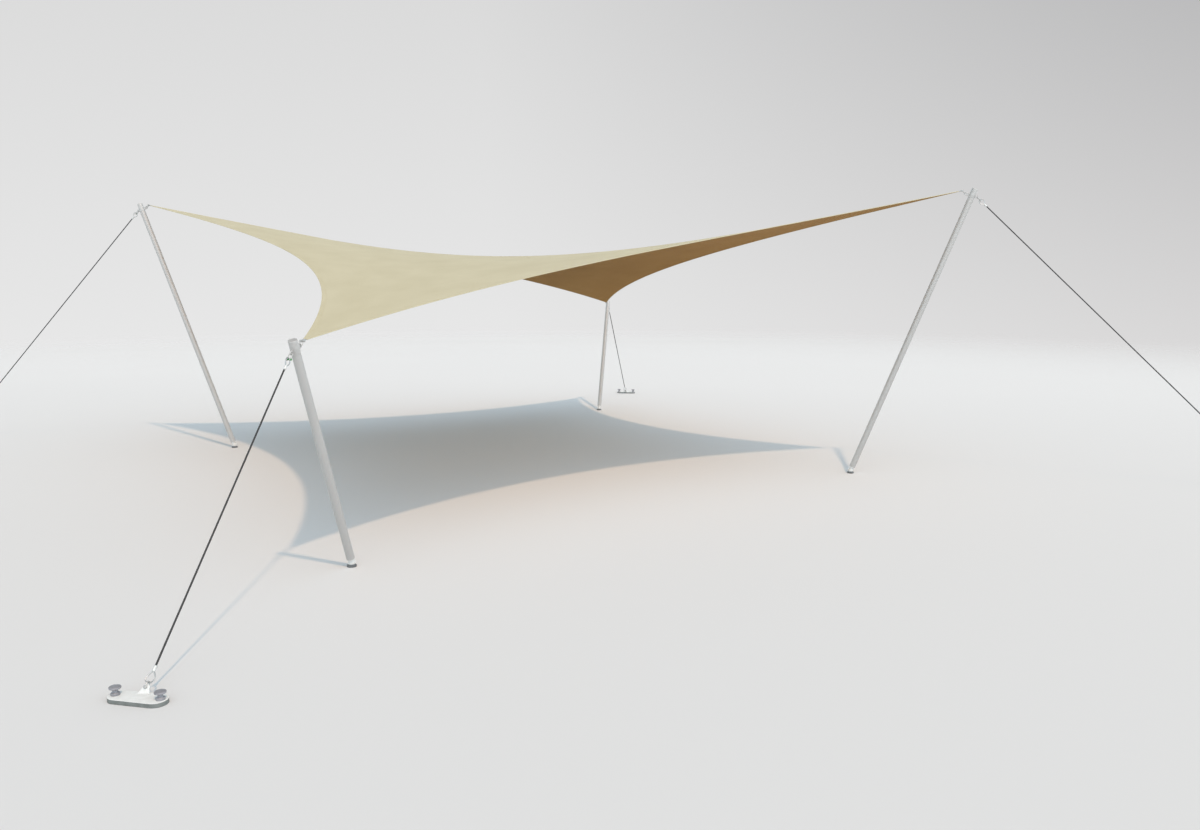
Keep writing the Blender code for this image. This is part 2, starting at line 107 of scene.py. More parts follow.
# Shackles and clamp
BOW_RADIUS = 0.017
BOW_BAR_RADIUS = 0.0055
SAIL_PITCH = 0.058  # a pitch runs from the middle of a bow's crown to its pin
UPPER_PITCH = 0.072
LOWER_PITCH = 0.048
PIN_RADIUS = 0.0065
PIN_EYE_RADIUS = 0.0125
PIN_HEAD_RADIUS = 0.0105
PIN_HEAD_LENGTH = 0.0075
CROWN_OFFSET = 0.0058
LINK_RISE = math.radians(42)
CLAMP_EYE_RADIUS = 0.014
CLAMP_EYE_THICKNESS = 0.010
CLAMP_START = 0.024
CLAMP_END = 0.050
CLAMP_THICKNESS = 0.012
CLAMP_NARROW = 0.022
CLAMP_WIDE = 0.038
CLAMP_BOLT_AT = 0.038  # from the pin
CLAMP_BOLT_RADIUS = 0.0055

# Stay rope
ROPE_RADIUS = 0.0085
ROPE_LAY = 0.096
FERRULE_RADIUS = 0.015
FERRULE_LENGTH = 0.050
EYE_LENGTH = 0.096
EYE_WIDTH = 0.074
EYE_BAR_RADIUS = 0.005

# Ground plate and stakes
PLATE_LENGTH = 0.48
PLATE_WIDTH = 0.17
PLATE_THICKNESS = 0.035
TAB_THICKNESS = 0.012
TAB_HOLE_RADIUS = 0.0075
TAB_END_RADIUS = 0.026
TAB_ROOT_WIDTH = 0.100
TAB_HOLE_INSET = 0.095
TAB_HOLE_HEIGHT = 0.066
TAB_ROOT_DEPTH = 0.010
STAKE_SPACING = 0.38
STAKE_SHANK_RADIUS = 0.011
STAKE_HEAD_RADIUS = 0.0433
STAKE_CROWN_RADIUS = 0.034
STAKE_CROWN_DROP = 0.003
STAKE_DOME_HEIGHT = 0.007
STAKE_RIM_HEIGHT = 0.012
STAKE_HEAD_TAPER = 0.012
STAKE_NECK_RADIUS = 0.020
STAKE_FLANGE_RADIUS = 0.034
STAKE_FLANGE_HEIGHT = 0.016
STAKE_FLANGE_TAPER = 0.010
STAKE_HEIGHT = 0.070

SEAT = 0.0001
MERGE = 0.00001
TURN_STEPS = 40
MAST_STEPS = 64


# ---- Node trees -------------------------------------------------------------


def add(tree, kind, settings=None, values=None, links=None):
    """Adds a node with its settings, the values of its sockets and the outputs that feed them."""
    node = tree.nodes.new(kind)
    for name, value in (settings or {}).items():
        setattr(node, name, value)
    for name, value in (values or {}).items():
        node.inputs[name].default_value = value
    for name, source in (links or {}).items():
        tree.links.new(source, node.inputs[name])
    return node


def geometry_tree(name, inputs):
    """An empty Geometry Nodes tree with named inputs, and its input node's outputs."""
    tree = bpy.data.node_groups.new(name, "GeometryNodeTree")
    tree.interface.new_socket("Geometry", in_out="OUTPUT", socket_type="NodeSocketGeometry")
    for label, kind in {"Geometry": "Geometry", **inputs, "Material": "Material"}.items():
        tree.interface.new_socket(label, in_out="INPUT", socket_type=f"NodeSocket{kind}")
    return tree, add(tree, "NodeGroupInput").outputs


def close_tree(tree, given, geometry):
    """Ends a tree: instances are made real and get their material."""
    real = add(tree, "GeometryNodeRealizeInstances", links={"Geometry": geometry})
    smooth = add(tree, "GeometryNodeSetShadeSmooth", links={"Geometry": real.outputs["Geometry"]})
    finished = add(
        tree,
        "GeometryNodeSetMaterial",
        links={"Geometry": smooth.outputs["Geometry"], "Material": given["Material"]},
    )
    add(tree, "NodeGroupOutput", links={"Geometry": finished.outputs["Geometry"]})
    return tree


def laid_rope_tree():
    """Strands laid into a rope along a path: a lobed section that turns once in each lay length."""
    tree, given = geometry_tree(
        "laid_rope",
        {"Strands": "Int", "Radius": "Float", "Groove Radius": "Float", "Lay Length": "Float", "Step": "Float"},
    )
    path = add(tree, "GeometryNodeMeshToCurve", links={"Mesh": given["Geometry"]})
    even = add(
        tree,
        "GeometryNodeResampleCurve",
        {"mode": "LENGTH"},
        links={"Curve": path.outputs["Curve"], "Length": given["Step"]},
    )
    along = add(tree, "GeometryNodeSplineParameter")
    lays = add(
        tree,
        "ShaderNodeMath",
        {"operation": "DIVIDE"},
        links={0: along.outputs["Length"], 1: given["Lay Length"]},
    )
    turn = add(tree, "ShaderNodeMath", {"operation": "MULTIPLY"}, {1: math.tau}, {0: lays.outputs[0]})
    twisted = add(
        tree,
        "GeometryNodeSetCurveTilt",
        links={"Curve": even.outputs["Curve"], "Tilt": turn.outputs[0]},
    )
    section = add(
        tree,
        "GeometryNodeCurveStar",
        links={
            "Points": given["Strands"],
            "Inner Radius": given["Groove Radius"],
            "Outer Radius": given["Radius"],
        },
    )
    skin = add(
        tree,
        "GeometryNodeCurveToMesh",
        values={"Fill Caps": True},
        links={"Curve": twisted.outputs["Curve"], "Profile Curve": section.outputs["Curve"]},
    )
    return close_tree(tree, given, skin.outputs["Mesh"])


def bead_row_tree():
    """Beads along a path, such as stitches or a weld's ripples. Slant turns them left and right in turn.

    The path's points carry the way that is up as an attribute of that name.
    """
    tree, given = geometry_tree("bead_row", {"Pitch": "Float", "Size": "Vector", "Slant": "Float"})
    path = add(tree, "GeometryNodeMeshToCurve", links={"Mesh": given["Geometry"]})
    even = add(
        tree,
        "GeometryNodeResampleCurve",
        {"mode": "LENGTH"},
        links={"Curve": path.outputs["Curve"], "Length": given["Pitch"]},
    )
    tangent = add(tree, "GeometryNodeInputTangent")
    up = add(tree, "GeometryNodeInputNamedAttribute", {"data_type": "FLOAT_VECTOR"}, {"Name": "up"})
    forward = add(
        tree,
        "FunctionNodeAlignRotationToVector",
        {"axis": "X"},
        links={"Vector": tangent.outputs["Tangent"]},
    )
    upright = add(
        tree,
        "FunctionNodeAlignRotationToVector",
        {"axis": "Z", "pivot_axis": "X"},
        links={"Rotation": forward.outputs["Rotation"], "Vector": up.outputs["Attribute"]},
    )
    order = add(tree, "GeometryNodeInputIndex")
    odd = add(tree, "ShaderNodeMath", {"operation": "MODULO"}, {1: 2.0}, {0: order.outputs["Index"]})
    hand = add(tree, "ShaderNodeMath", {"operation": "SUBTRACT"}, {1: 0.5}, {0: odd.outputs[0]})
    slant = add(
        tree,
        "ShaderNodeMath",
        {"operation": "MULTIPLY"},
        links={0: hand.outputs[0], 1: given["Slant"]},
    )
    twist = add(tree, "ShaderNodeCombineXYZ", links={"Z": slant.outputs[0]})
    turn = add(tree, "FunctionNodeEulerToRotation", links={"Euler": twist.outputs["Vector"]})
    slanted = add(
        tree,
        "FunctionNodeRotateRotation",
        {"rotation_space": "LOCAL"},
        links={"Rotation": upright.outputs["Rotation"], "Rotate By": turn.outputs["Rotation"]},
    )
    bead = add(tree, "GeometryNodeMeshIcoSphere", values={"Radius": 0.5, "Subdivisions": 1})
    row = add(
        tree,
        "GeometryNodeInstanceOnPoints",
        links={
            "Points": even.outputs["Curve"],
            "Instance": bead.outputs["Mesh"],
            "Rotation": slanted.outputs["Rotation"],
            "Scale": given["Size"],
        },
    )
    return close_tree(tree, given, row.outputs["Instances"])


def bolts_tree():
    """A six-sided head on a round washer at each point. The points carry the way that is up."""
    tree, given = geometry_tree(
        "bolts",
        {
            "Head Radius": "Float",
            "Head Height": "Float",
            "Washer Radius": "Float",
            "Washer Thickness": "Float",
        },
    )
    shapes = add(tree, "GeometryNodeJoinGeometry")
    half = add(
        tree, "ShaderNodeMath", {"operation": "MULTIPLY"}, {1: 0.5}, {0: given["Head Height"]}
    )
    lift = add(tree, "ShaderNodeCombineXYZ", links={"Z": half.outputs[0]})
    head = add(
        tree,
        "GeometryNodeMeshCylinder",
        values={"Vertices": 6},
        links={"Radius": given["Head Radius"], "Depth": given["Head Height"]},
    )
    raised = add(
        tree,
        "GeometryNodeTransform",
        links={"Geometry": head.outputs["Mesh"], "Translation": lift.outputs["Vector"]},
    )
    washer = add(
        tree,
        "GeometryNodeMeshCylinder",
        values={"Vertices": 20},
        links={"Radius": given["Washer Radius"], "Depth": given["Washer Thickness"]},
    )
    for shape in (raised.outputs["Geometry"], washer.outputs["Mesh"]):
        tree.links.new(shape, shapes.inputs["Geometry"])
    up = add(tree, "GeometryNodeInputNamedAttribute", {"data_type": "FLOAT_VECTOR"}, {"Name": "up"})
    upright = add(
        tree,
        "FunctionNodeAlignRotationToVector",
        {"axis": "Z"},
        links={"Vector": up.outputs["Attribute"]},
    )
    placed = add(
        tree,
        "GeometryNodeInstanceOnPoints",
        links={
            "Points": given["Geometry"],
            "Instance": shapes.outputs["Geometry"],
            "Rotation": upright.outputs["Rotation"],
        },
    )
    return close_tree(tree, given, placed.outputs["Instances"])


def studs_tree():
    """A low round stud at each point, such as a rivet's head. The points carry the way that is up."""
    tree, given = geometry_tree("studs", {"Size": "Vector"})
    up = add(tree, "GeometryNodeInputNamedAttribute", {"data_type": "FLOAT_VECTOR"}, {"Name": "up"})
    upright = add(
        tree,
        "FunctionNodeAlignRotationToVector",
        {"axis": "Z"},
        links={"Vector": up.outputs["Attribute"]},
    )
    dome = add(tree, "GeometryNodeMeshIcoSphere", values={"Radius": 0.5, "Subdivisions": 3})
    placed = add(
        tree,
        "GeometryNodeInstanceOnPoints",
        links={
            "Points": given["Geometry"],
            "Instance": dome.outputs["Mesh"],
            "Rotation": upright.outputs["Rotation"],
            "Scale": given["Size"],
        },
    )
    return close_tree(tree, given, placed.outputs["Instances"])


def grown(tree, source, values):
    """The plain mesh that a tree makes of a source mesh."""
    carrier = bpy.data.objects.new("carrier", source)
    bpy.context.scene.collection.objects.link(carrier)
    modifier = carrier.modifiers.new(tree.name, "NODES")
    modifier.node_group = tree
    for socket in tree.interface.items_tree:
        if socket.name in values and socket.in_out == "INPUT":
            modifier[socket.identifier] = values[socket.name]
    depsgraph = bpy.context.evaluated_depsgraph_get()
    mesh = bpy.data.meshes.new_from_object(carrier.evaluated_get(depsgraph))
    bpy.data.objects.remove(carrier)
    return mesh


def path_mesh(places, ups=None, linked=True):
    """Points as a bare mesh for a tree, joined in a row if linked, with the way that is up at each."""
    edges = [(n, n + 1) for n in range(len(places) - 1)] if linked else []
    mesh = bpy.data.meshes.new("path")
    mesh.from_pydata([tuple(place) for place in places], edges, [])
    if ups is not None:
        attribute = mesh.attributes.new("up", "FLOAT_VECTOR", "POINT")
        attribute.data.foreach_set("vector", np.array(ups, dtype=np.float32).ravel())
    return mesh


# ---- Shapes -----------------------------------------------------------------


def evaluated(source):
    """The welded mesh that a curve or a modified object draws. The source is removed."""
    bpy.context.scene.collection.objects.link(source)
    depsgraph = bpy.context.evaluated_depsgraph_get()
    mesh = bpy.data.meshes.new_from_object(source.evaluated_get(depsgraph))
    bpy.data.objects.remove(source)
    shape = bmesh.new()
    shape.from_mesh(mesh)
    bmesh.ops.remove_doubles(shape, verts=shape.verts, dist=MERGE)
    bmesh.ops.recalc_face_normals(shape, faces=shape.faces)
    shape.to_mesh(mesh)
    shape.free()
    return mesh


def arc(radius, start, end, count, middle=(0, 0)):
    """Points (across, up) on an arc, with its angles measured from the first axis."""
    angles = [start + (end - start) * n / (count - 1) for n in range(count)]
    return [(middle[0] + radius * math.cos(a), middle[1] + radius * math.sin(a)) for a in angles]


def hole(radius, middle=(0, 0), count=32):
    """A round outline that runs the other way from a plate's edge."""
    return arc(radius, math.tau * (count - 1) / count, 0, count, middle)


def rounded(points, radius, closed=False, steps=3):
    """An outline of (across, up) points with its corners rounded. A list gives each its own radius."""
    radii = radius if hasattr(radius, "__len__") else [radius] * len(points)
    result = []
    for n, (point, bend) in enumerate(zip(points, radii)):
        here = Vector(point)
        if bend <= 0 or (not closed and n in (0, len(points) - 1)):
            result.append(tuple(here))
            continue
        back = Vector(points[n - 1]) - here
        onward = Vector(points[(n + 1) % len(points)]) - here
        half_angle = back.angle(onward) / 2
        reach = min(bend / math.tan(half_angle), 0.49 * back.length, 0.49 * onward.length)
        back.normalize()
        onward.normalize()
        middle = here + (back + onward).normalized() * reach / math.cos(half_angle)
        first = here + back * reach - middle
        turn = first.angle_signed(here + onward * reach - middle)
        for step in range(steps + 1):
            spoke = Matrix.Rotation(-turn * step / steps, 2) @ first
            result.append(tuple(middle + spoke))
    return result


def turned(profile, steps=TURN_STEPS, closed=False):
    """A profile of (radius, height) points turned round Z. It runs down its outer side.

    Its map has the way round and the way along the profile, both in metres.
    """
    shape = bmesh.new()
    chart = shape.loops.layers.uv.new("surface")
    widest = max(radius for radius, _ in profile)
    along = [0.0]
    for (r0, h0), (r1, h1) in zip(profile, profile[1:] + profile[:1]):
        along.append(along[-1] + math.hypot(r1 - r0, h1 - h0))
    rings = []
    for radius, height in profile:
        count = 1 if radius < MERGE else steps
        angles = [math.tau * k / steps for k in range(count)]
        rings.append([shape.verts.new((radius * math.cos(a), radius * math.sin(a), height)) for a in angles])
    last = len(profile) - 1
    spans = [(n, n + 1) for n in range(last)] + ([(last, last + 1)] if closed else [])
    for upper, lower in spans:
        for k in range(steps):
            corners = []
            for ring, step in ((upper, k), (lower, k), (lower, k + 1), (upper, k + 1)):
                circle = rings[ring % len(rings)]
                vert = circle[step % len(circle)]
                if vert not in [corner[0] for corner in corners]:
                    corners.append((vert, (widest * math.tau * step / steps, along[ring])))
            face = shape.faces.new([corner[0] for corner in corners])
            for loop, (_, place) in zip(face.loops, corners):
                loop[chart].uv = place
    mesh = bpy.data.meshes.new("turned")
    shape.to_mesh(mesh)
    shape.free()
    return mesh


def skinned(sections, slots=None, closed=False):
    """A skin over a row of closed sections with as many points each, capped unless it is closed.

    slots gives the material slot of each strip between neighbouring points of the sections.
    """
    sections = np.array(sections)
    rows, count = sections.shape[:2]
    shape = bmesh.new()
    chart = shape.loops.layers.uv.new("surface")
    grid = [[shape.verts.new(place) for place in row] for row in sections]
    steps = np.linalg.norm(np.diff(sections[:, 0], axis=0), axis=1)
    along = np.concatenate([[0], np.cumsum(steps), [np.sum(steps)]])
    ring = np.append(sections[rows // 2], sections[rows // 2][:1], axis=0)
    around = np.concatenate([[0], np.cumsum(np.linalg.norm(np.diff(ring, axis=0), axis=1))])
    for i in range(rows if closed else rows - 1):
        for j in range(count):
            spots = ((i, j), (i, j + 1), (i + 1, j + 1), (i + 1, j))
            face = shape.faces.new([grid[a % rows][b % count] for a, b in spots])
            face.material_index = slots[j] if slots else 0
            for loop, (a, b) in zip(face.loops, spots):
                loop[chart].uv = (around[b], along[a])
    if not closed:
        shape.faces.new(grid[0])
        shape.faces.new(grid[-1])
    bmesh.ops.recalc_face_normals(shape, faces=shape.faces)
    mesh = bpy.data.meshes.new("skin")
    shape.to_mesh(mesh)
    shape.free()
    return mesh


def slab(lower, upper):
    """A thin closed slab between two grids of points."""
    lower, upper = np.array(lower), np.array(upper)
    rows, columns = lower.shape[:2]
    shape = bmesh.new()
    chart = shape.loops.layers.uv.new("surface")
    low = [[shape.verts.new(place) for place in row] for row in lower]
    high = [[shape.verts.new(place) for place in row] for row in upper]
    for side in (low, high):
        for i in range(rows - 1):
            for j in range(columns - 1):
                shape.faces.new((side[i][j], side[i + 1][j], side[i + 1][j + 1], side[i][j + 1]))
    rim = [(0, j) for j in range(columns)] + [(i, columns - 1) for i in range(1, rows)]
    rim += [(rows - 1, j) for j in range(columns - 2, -1, -1)] + [(i, 0) for i in range(rows - 2, 0, -1)]
    for (a, b), (c, d) in zip(rim, rim[1:] + rim[:1]):
        shape.faces.new((low[a][b], low[c][d], high[c][d], high[a][b]))
    for face in shape.faces:
        for loop in face.loops:
            loop[chart].uv = loop.vert.co.xy
    bmesh.ops.recalc_face_normals(shape, faces=shape.faces)
    mesh = bpy.data.meshes.new("slab")
    shape.to_mesh(mesh)
    shape.free()
    return mesh


def flat_plate(outlines, thickness, edge=0.001):
    """A plate in the XY plane with rounded rims. The first outline is its edge, the others its holes."""
    curve = bpy.data.curves.new("outline", "CURVE")
    curve.dimensions = "2D"
    curve.fill_mode = "BOTH"
    curve.extrude = thickness / 2 - edge
    curve.bevel_depth = edge
    curve.bevel_resolution = 2
    curve.offset = -edge
    for outline in outlines:
        spline = curve.splines.new("POLY")
        spline.points.add(len(outline) - 1)
        for point, (x, y) in zip(spline.points, outline):
            point.co = (x, y, 0, 1)
        spline.use_cyclic_u = True
    return evaluated(bpy.data.objects.new("outline", curve))


def bar(points, radius, sides=16):
    """A round bar along a row of points, with closed ends."""
    curve = bpy.data.curves.new("bar", "CURVE")
    curve.dimensions = "3D"
    curve.bevel_depth = radius
    curve.bevel_resolution = sides // 2 - 2
    curve.use_fill_caps = True
    spline = curve.splines.new("POLY")
    spline.points.add(len(points) - 1)
    for point, place_at in zip(spline.points, points):
        point.co = (*place_at, 1)
    return evaluated(bpy.data.objects.new("bar", curve))


def paint_sides(mesh, steepest=0.5):
    """Gives slot 1 to the faces that stand upright, and to those that look down."""
    for face in mesh.polygons:
        if face.normal.z < steepest:
            face.material_index = 1
    return mesh


def piece(name, parts):
    """One object from (mesh, materials, matrix) parts, in place, smooth where its faces turn gently."""
    finishes = []
    places, corners, sizes, slots, charts = [], [], [], [], []
    shift = 0
    for mesh, wanted, matrix in parts:
        wanted = wanted if isinstance(wanted, (list, tuple)) else [wanted]
        for finish in wanted:
            if finish not in finishes:
                finishes.append(finish)
        spots = np.empty(len(mesh.vertices) * 3)
        mesh.vertices.foreach_get("co", spots)
        turn = np.array(matrix)
        places.append(spots.reshape(-1, 3) @ turn[:3, :3].T + turn[:3, 3])
        turns = np.empty(len(mesh.loops), dtype=int)
        mesh.loops.foreach_get("vertex_index", turns)
        corners.append(turns + shift)
        shift += len(mesh.vertices)
        lengths = np.empty(len(mesh.polygons), dtype=int)
        mesh.polygons.foreach_get("loop_total", lengths)
        sizes.append(lengths)
        picks = np.empty(len(mesh.polygons), dtype=int)
        mesh.polygons.foreach_get("material_index", picks)
        own = np.array([finishes.index(finish) for finish in wanted])
        slots.append(own[np.clip(picks, 0, len(wanted) - 1)])
        chart = np.zeros(len(mesh.loops) * 2)
        if mesh.uv_layers:
            mesh.uv_layers[0].data.foreach_get("uv", chart)
        charts.append(chart)
    sizes = np.concatenate(sizes)
    whole = bpy.data.meshes.new(name)
    whole.vertices.add(shift)
    whole.vertices.foreach_set("co", np.concatenate(places).ravel())
    whole.loops.add(int(sizes.sum()))
    whole.loops.foreach_set("vertex_index", np.concatenate(corners))
    whole.polygons.add(len(sizes))
    whole.polygons.foreach_set("loop_start", np.concatenate([[0], np.cumsum(sizes)[:-1]]))
    whole.polygons.foreach_set("material_index", np.concatenate(slots))
    whole.uv_layers.new(name="surface").data.foreach_set("uv", np.concatenate(charts))
    whole.update(calc_edges=True)
    whole.validate()
    whole.shade_smooth()
    whole.set_sharp_from_angle(angle=math.radians(35))
    for finish in finishes:
        whole.materials.append(finish)
    thing = bpy.data.objects.new(name, whole)
    bpy.context.scene.collection.objects.link(thing)
    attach(thing, "root")
    return thing


# ---- Materials --------------------------------------------------------------


def linear(colour):
    """A colour given as sRGB hex, in linear light."""
    shares = [int(colour[n : n + 2], 16) / 255 for n in (1, 3, 5)]
    return [s / 12.92 if s <= 0.04045 else ((s + 0.055) / 1.055) ** 2.4 for s in shares] + [1.0]


def base_finish(name, roughness, metallic=0.0, **constants):
    """A material with its tree and shader. Constants are the same all over the surface."""
    material = bpy.data.materials.new(name)
    material.use_nodes = True
    shader = material.node_tree.nodes["Principled BSDF"]
    values = {"roughness": roughness, "metallic": metallic, **constants}
    for label, value in values.items():
        shader.inputs[label.replace("_", " ").title()].default_value = value
    return material, material.node_tree, shader


WAVE_SCALE = math.tau / 20  # a Wave texture of scale 1 repeats after this many units


def cloth(name, light, dark, thread_spacing, sheen):
    """Coated stretch polyester, knitted. Its threads follow the cloth's own map, in metres."""
    material, tree, shader = base_finish(name, 0.88, sheen_weight=sheen, sheen_roughness=0.5)
    shader.inputs["Specular IOR Level"].default_value = 0.2
    chart = add(tree, "ShaderNodeUVMap", {"uv_map": "surface"}).outputs["UV"]
    threads = [
        add(
            tree,
            "ShaderNodeTexWave",
            {"wave_type": "BANDS", "bands_direction": direction, "wave_profile": "SIN"},
            {"Scale": WAVE_SCALE / thread_spacing},
            {"Vector": chart},
        )
        for direction in ("X", "Y")
    ]
    weave = add(
        tree,
        "ShaderNodeMath",
        {"operation": "MULTIPLY"},
        links={0: threads[0].outputs["Fac"], 1: threads[1].outputs["Fac"]},
    )
    # Broad clouds where the coating took up a little more or less colour
    clouds = add(
        tree,
        "ShaderNodeTexNoise",
        values={"Scale": 1 / 0.9, "Detail": 3.0, "Roughness": 0.55},
        links={"Vector": chart},
    )
    blend = add(
        tree,
        "ShaderNodeMath",
        {"operation": "MULTIPLY_ADD"},
        {1: 0.35},
        {0: weave.outputs[0], 2: clouds.outputs["Fac"]},
    )
    shade = add(
        tree,
        "ShaderNodeMapRange",
        values={"From Min": 0.35, "From Max": 0.95},
        links={"Value": blend.outputs[0]},
    )
    tint = add(
        tree,
        "ShaderNodeMixRGB",
        values={"Color1": linear(dark), "Color2": linear(light)},
        links={"Fac": shade.outputs["Result"]},
    )
    relief = add(
        tree,
        "ShaderNodeBump",
        values={"Strength": 0.35, "Distance": 0.0012},
        links={"Height": weave.outputs[0]},
    )
    tree.links.new(tint.outputs["Color"], shader.inputs["Base Color"])
    tree.links.new(relief.outputs["Normal"], shader.inputs["Normal"])
    return material


def brushed_metal(name, light, dark, roughness, line_width, line_length):
    """Drawn and brushed metal under an oxide film: long faint streaks along the piece."""
    material, tree, shader = base_finish(name, roughness, 0.4)
    chart = add(tree, "ShaderNodeUVMap", {"uv_map": "surface"}).outputs["UV"]
    stretched = add(
        tree,
        "ShaderNodeMapping",
        values={"Scale": (1 / line_width, 1 / line_length, 1.0)},
        links={"Vector": chart},
    )
    streaks = add(
        tree,
        "ShaderNodeTexNoise",
        values={"Scale": 1.0, "Detail": 4.0, "Roughness": 0.6},
        links={"Vector": stretched.outputs["Vector"]},
    )
    tint = add(
        tree,
        "ShaderNodeMixRGB",
        values={"Color1": linear(dark), "Color2": linear(light)},
        links={"Fac": streaks.outputs["Fac"]},
    )
    gloss = add(
        tree,
        "ShaderNodeMapRange",
        values={"From Min": 0.3, "From Max": 0.7, "To Min": roughness - 0.06, "To Max": roughness + 0.06},
        links={"Value": streaks.outputs["Fac"]},
    )
    relief = add(
        tree,
        "ShaderNodeBump",
        values={"Strength": 0.03, "Distance": 0.0003},
        links={"Height": streaks.outputs["Fac"]},
    )
    tree.links.new(tint.outputs["Color"], shader.inputs["Base Color"])
    tree.links.new(gloss.outputs["Result"], shader.inputs["Roughness"])
    tree.links.new(relief.outputs["Normal"], shader.inputs["Normal"])
    return material


def grained(name, light, dark, roughness, metallic, grain, depth, **constants):
    """A cast, coated or moulded surface: an even grain of a given size, in tone, gloss and relief."""
    material, tree, shader = base_finish(name, roughness, metallic, **constants)
    place = add(tree, "ShaderNodeTexCoord").outputs["Object"]
    pores = add(
        tree,
        "ShaderNodeTexNoise",
        values={"Scale": 1 / grain, "Detail": 3.0, "Roughness": 0.55},
        links={"Vector": place},
    )
    patches = add(
        tree,
        "ShaderNodeTexNoise",
        values={"Scale": 1 / (grain * 24), "Detail": 2.0},
        links={"Vector": place},
    )
    mixed = add(
        tree,
        "ShaderNodeMath",
        {"operation": "MULTIPLY_ADD"},
        {1: 0.4},
        {0: pores.outputs["Fac"], 2: patches.outputs["Fac"]},
    )
    shade = add(
        tree,
        "ShaderNodeMapRange",
        values={"From Min": 0.45, "From Max": 0.95},
        links={"Value": mixed.outputs[0]},
    )
    tint = add(
        tree,
        "ShaderNodeMixRGB",
        values={"Color1": linear(dark), "Color2": linear(light)},
        links={"Fac": shade.outputs["Result"]},
    )
    gloss = add(
        tree,
        "ShaderNodeMapRange",
        values={"To Min": roughness - 0.07, "To Max": roughness + 0.07},
        links={"Value": shade.outputs["Result"]},
    )
    relief = add(
        tree,
        "ShaderNodeBump",
        values={"Strength": 0.3, "Distance": depth},
        links={"Height": pores.outputs["Fac"]},
    )
    tree.links.new(tint.outputs["Color"], shader.inputs["Base Color"])
    tree.links.new(gloss.outputs["Result"], shader.inputs["Roughness"])
    tree.links.new(relief.outputs["Normal"], shader.inputs["Normal"])
    return material


def galvanised(name, light, dark, roughness, spangle):
    """Hot-dip zinc on steel: crystals of a given size, each a little lighter or duller than the next."""
    material, tree, shader = base_finish(name, roughness, 0.7)
    place = add(tree, "ShaderNodeTexCoord").outputs["Object"]
    crystals = add(
        tree,
        "ShaderNodeTexVoronoi",
        {"feature": "F1"},
        {"Scale": 1 / spangle},
        {"Vector": place},
    )
    tone = add(tree, "ShaderNodeRGBToBW", links={"Color": crystals.outputs["Color"]})
    tint = add(
        tree,
        "ShaderNodeMixRGB",
        values={"Color1": linear(dark), "Color2": linear(light)},
        links={"Fac": tone.outputs["Val"]},
    )
    gloss = add(
        tree,
        "ShaderNodeMapRange",
        values={"To Min": roughness - 0.08, "To Max": roughness + 0.08},
        links={"Value": tone.outputs["Val"]},
    )
    skin = add(
        tree,
        "ShaderNodeTexNoise",
        values={"Scale": 3 / spangle, "Detail": 2.0},
        links={"Vector": place},
    )
    relief = add(
        tree,
        "ShaderNodeBump",
        values={"Strength": 0.2, "Distance": 0.0003},
        links={"Height": skin.outputs["Fac"]},
    )
    tree.links.new(tint.outputs["Color"], shader.inputs["Base Color"])
    tree.links.new(gloss.outputs["Result"], shader.inputs["Roughness"])
    tree.links.new(relief.outputs["Normal"], shader.inputs["Normal"])
    return material


# Knitted stretch polyester, coated cream above and brown below. Real threads lie 0.7 mm apart, which
# no view of a whole tent can show, so they are drawn 12 mm apart.
cream_cloth = cloth("coated_stretch_polyester_cream", "#CDC5A9", "#C1B89A", 0.012, 0.05)
brown_cloth = cloth("coated_stretch_polyester_brown", "#A67E43", "#9A7239", 0.012, 0.01)
# Bonded polyester sewing thread, a little darker than the cloth that it holds
cream_thread = grained("bonded_thread_cream", "#CFC39B", "#BDB088", 0.7, 0.0, 0.001, 0.0001)
brown_thread = grained("bonded_thread_brown", "#8C6A3C", "#775830", 0.7, 0.0, 0.001, 0.0001)
# Drawn aluminium tube, brushed along its length and anodised: grey, with long faint streaks
mast_metal = brushed_metal("brushed_anodised_aluminium", "#BFBDBB", "#B6B4B2", 0.62, 0.009, 1.2)
# Cast aluminium, tumbled: a shade lighter and duller than the tube
head_metal = grained("cast_aluminium", "#C6C4C2", "#B8B6B4", 0.60, 0.4, 0.0016, 0.0002)
# Moulded polyamide, white: soft gloss over a fine spark-eroded grain
foot_plastic = grained("moulded_polyamide_white", "#D7D6D4", "#CDCCC9", 0.42, 0.0, 0.0009, 0.0001)
# Forged steel, hot-dip galvanised: spangles of about 7 mm
shackle_steel = galvanised("galvanised_forged_steel", "#CFCFCD", "#B3B3B2", 0.48, 0.007)
# Enamel on the shackle's pin: glossy green
pin_enamel = grained("green_enamel", "#1E8A32", "#166F27", 0.30, 0.0, 0.002, 0.0001, coat_weight=0.4)
# Wire rope in a dark sheath of soft PVC, through which the strands show
rope_sheath = grained("pvc_sheathed_wire_rope", "#363637", "#28282A", 0.60, 0.0, 0.002, 0.0002)
# The same rope stripped to its bright galvanised wires where it turns round the thimble
bare_wire = grained("bright_wire_strand", "#C9CACA", "#A9ABAC", 0.38, 1.0, 0.0008, 0.0002)
# Aluminium sleeve pressed over both parts of the rope: soft pale metal
ferrule_metal = grained("pressed_aluminium", "#E2E2E0", "#D0D0CE", 0.50, 0.6, 0.0012, 0.0001)
# Steel plate with a pale powder coat above; its sides and underside are a darker grey
plate_coat = grained("powder_coated_steel", "#E9EAE8", "#DDDEDC", 0.50, 0.0, 0.0018, 0.0002)
plate_side = grained("dark_grey_plate_sides", "#868A88", "#6E7270", 0.62, 0.3, 0.003, 0.0003)
# Turned steel, dark grey all over: the disc under each mast
base_steel = grained("dark_grey_turned_steel", "#707375", "#5E6163", 0.58, 0.3, 0.002, 0.0002)
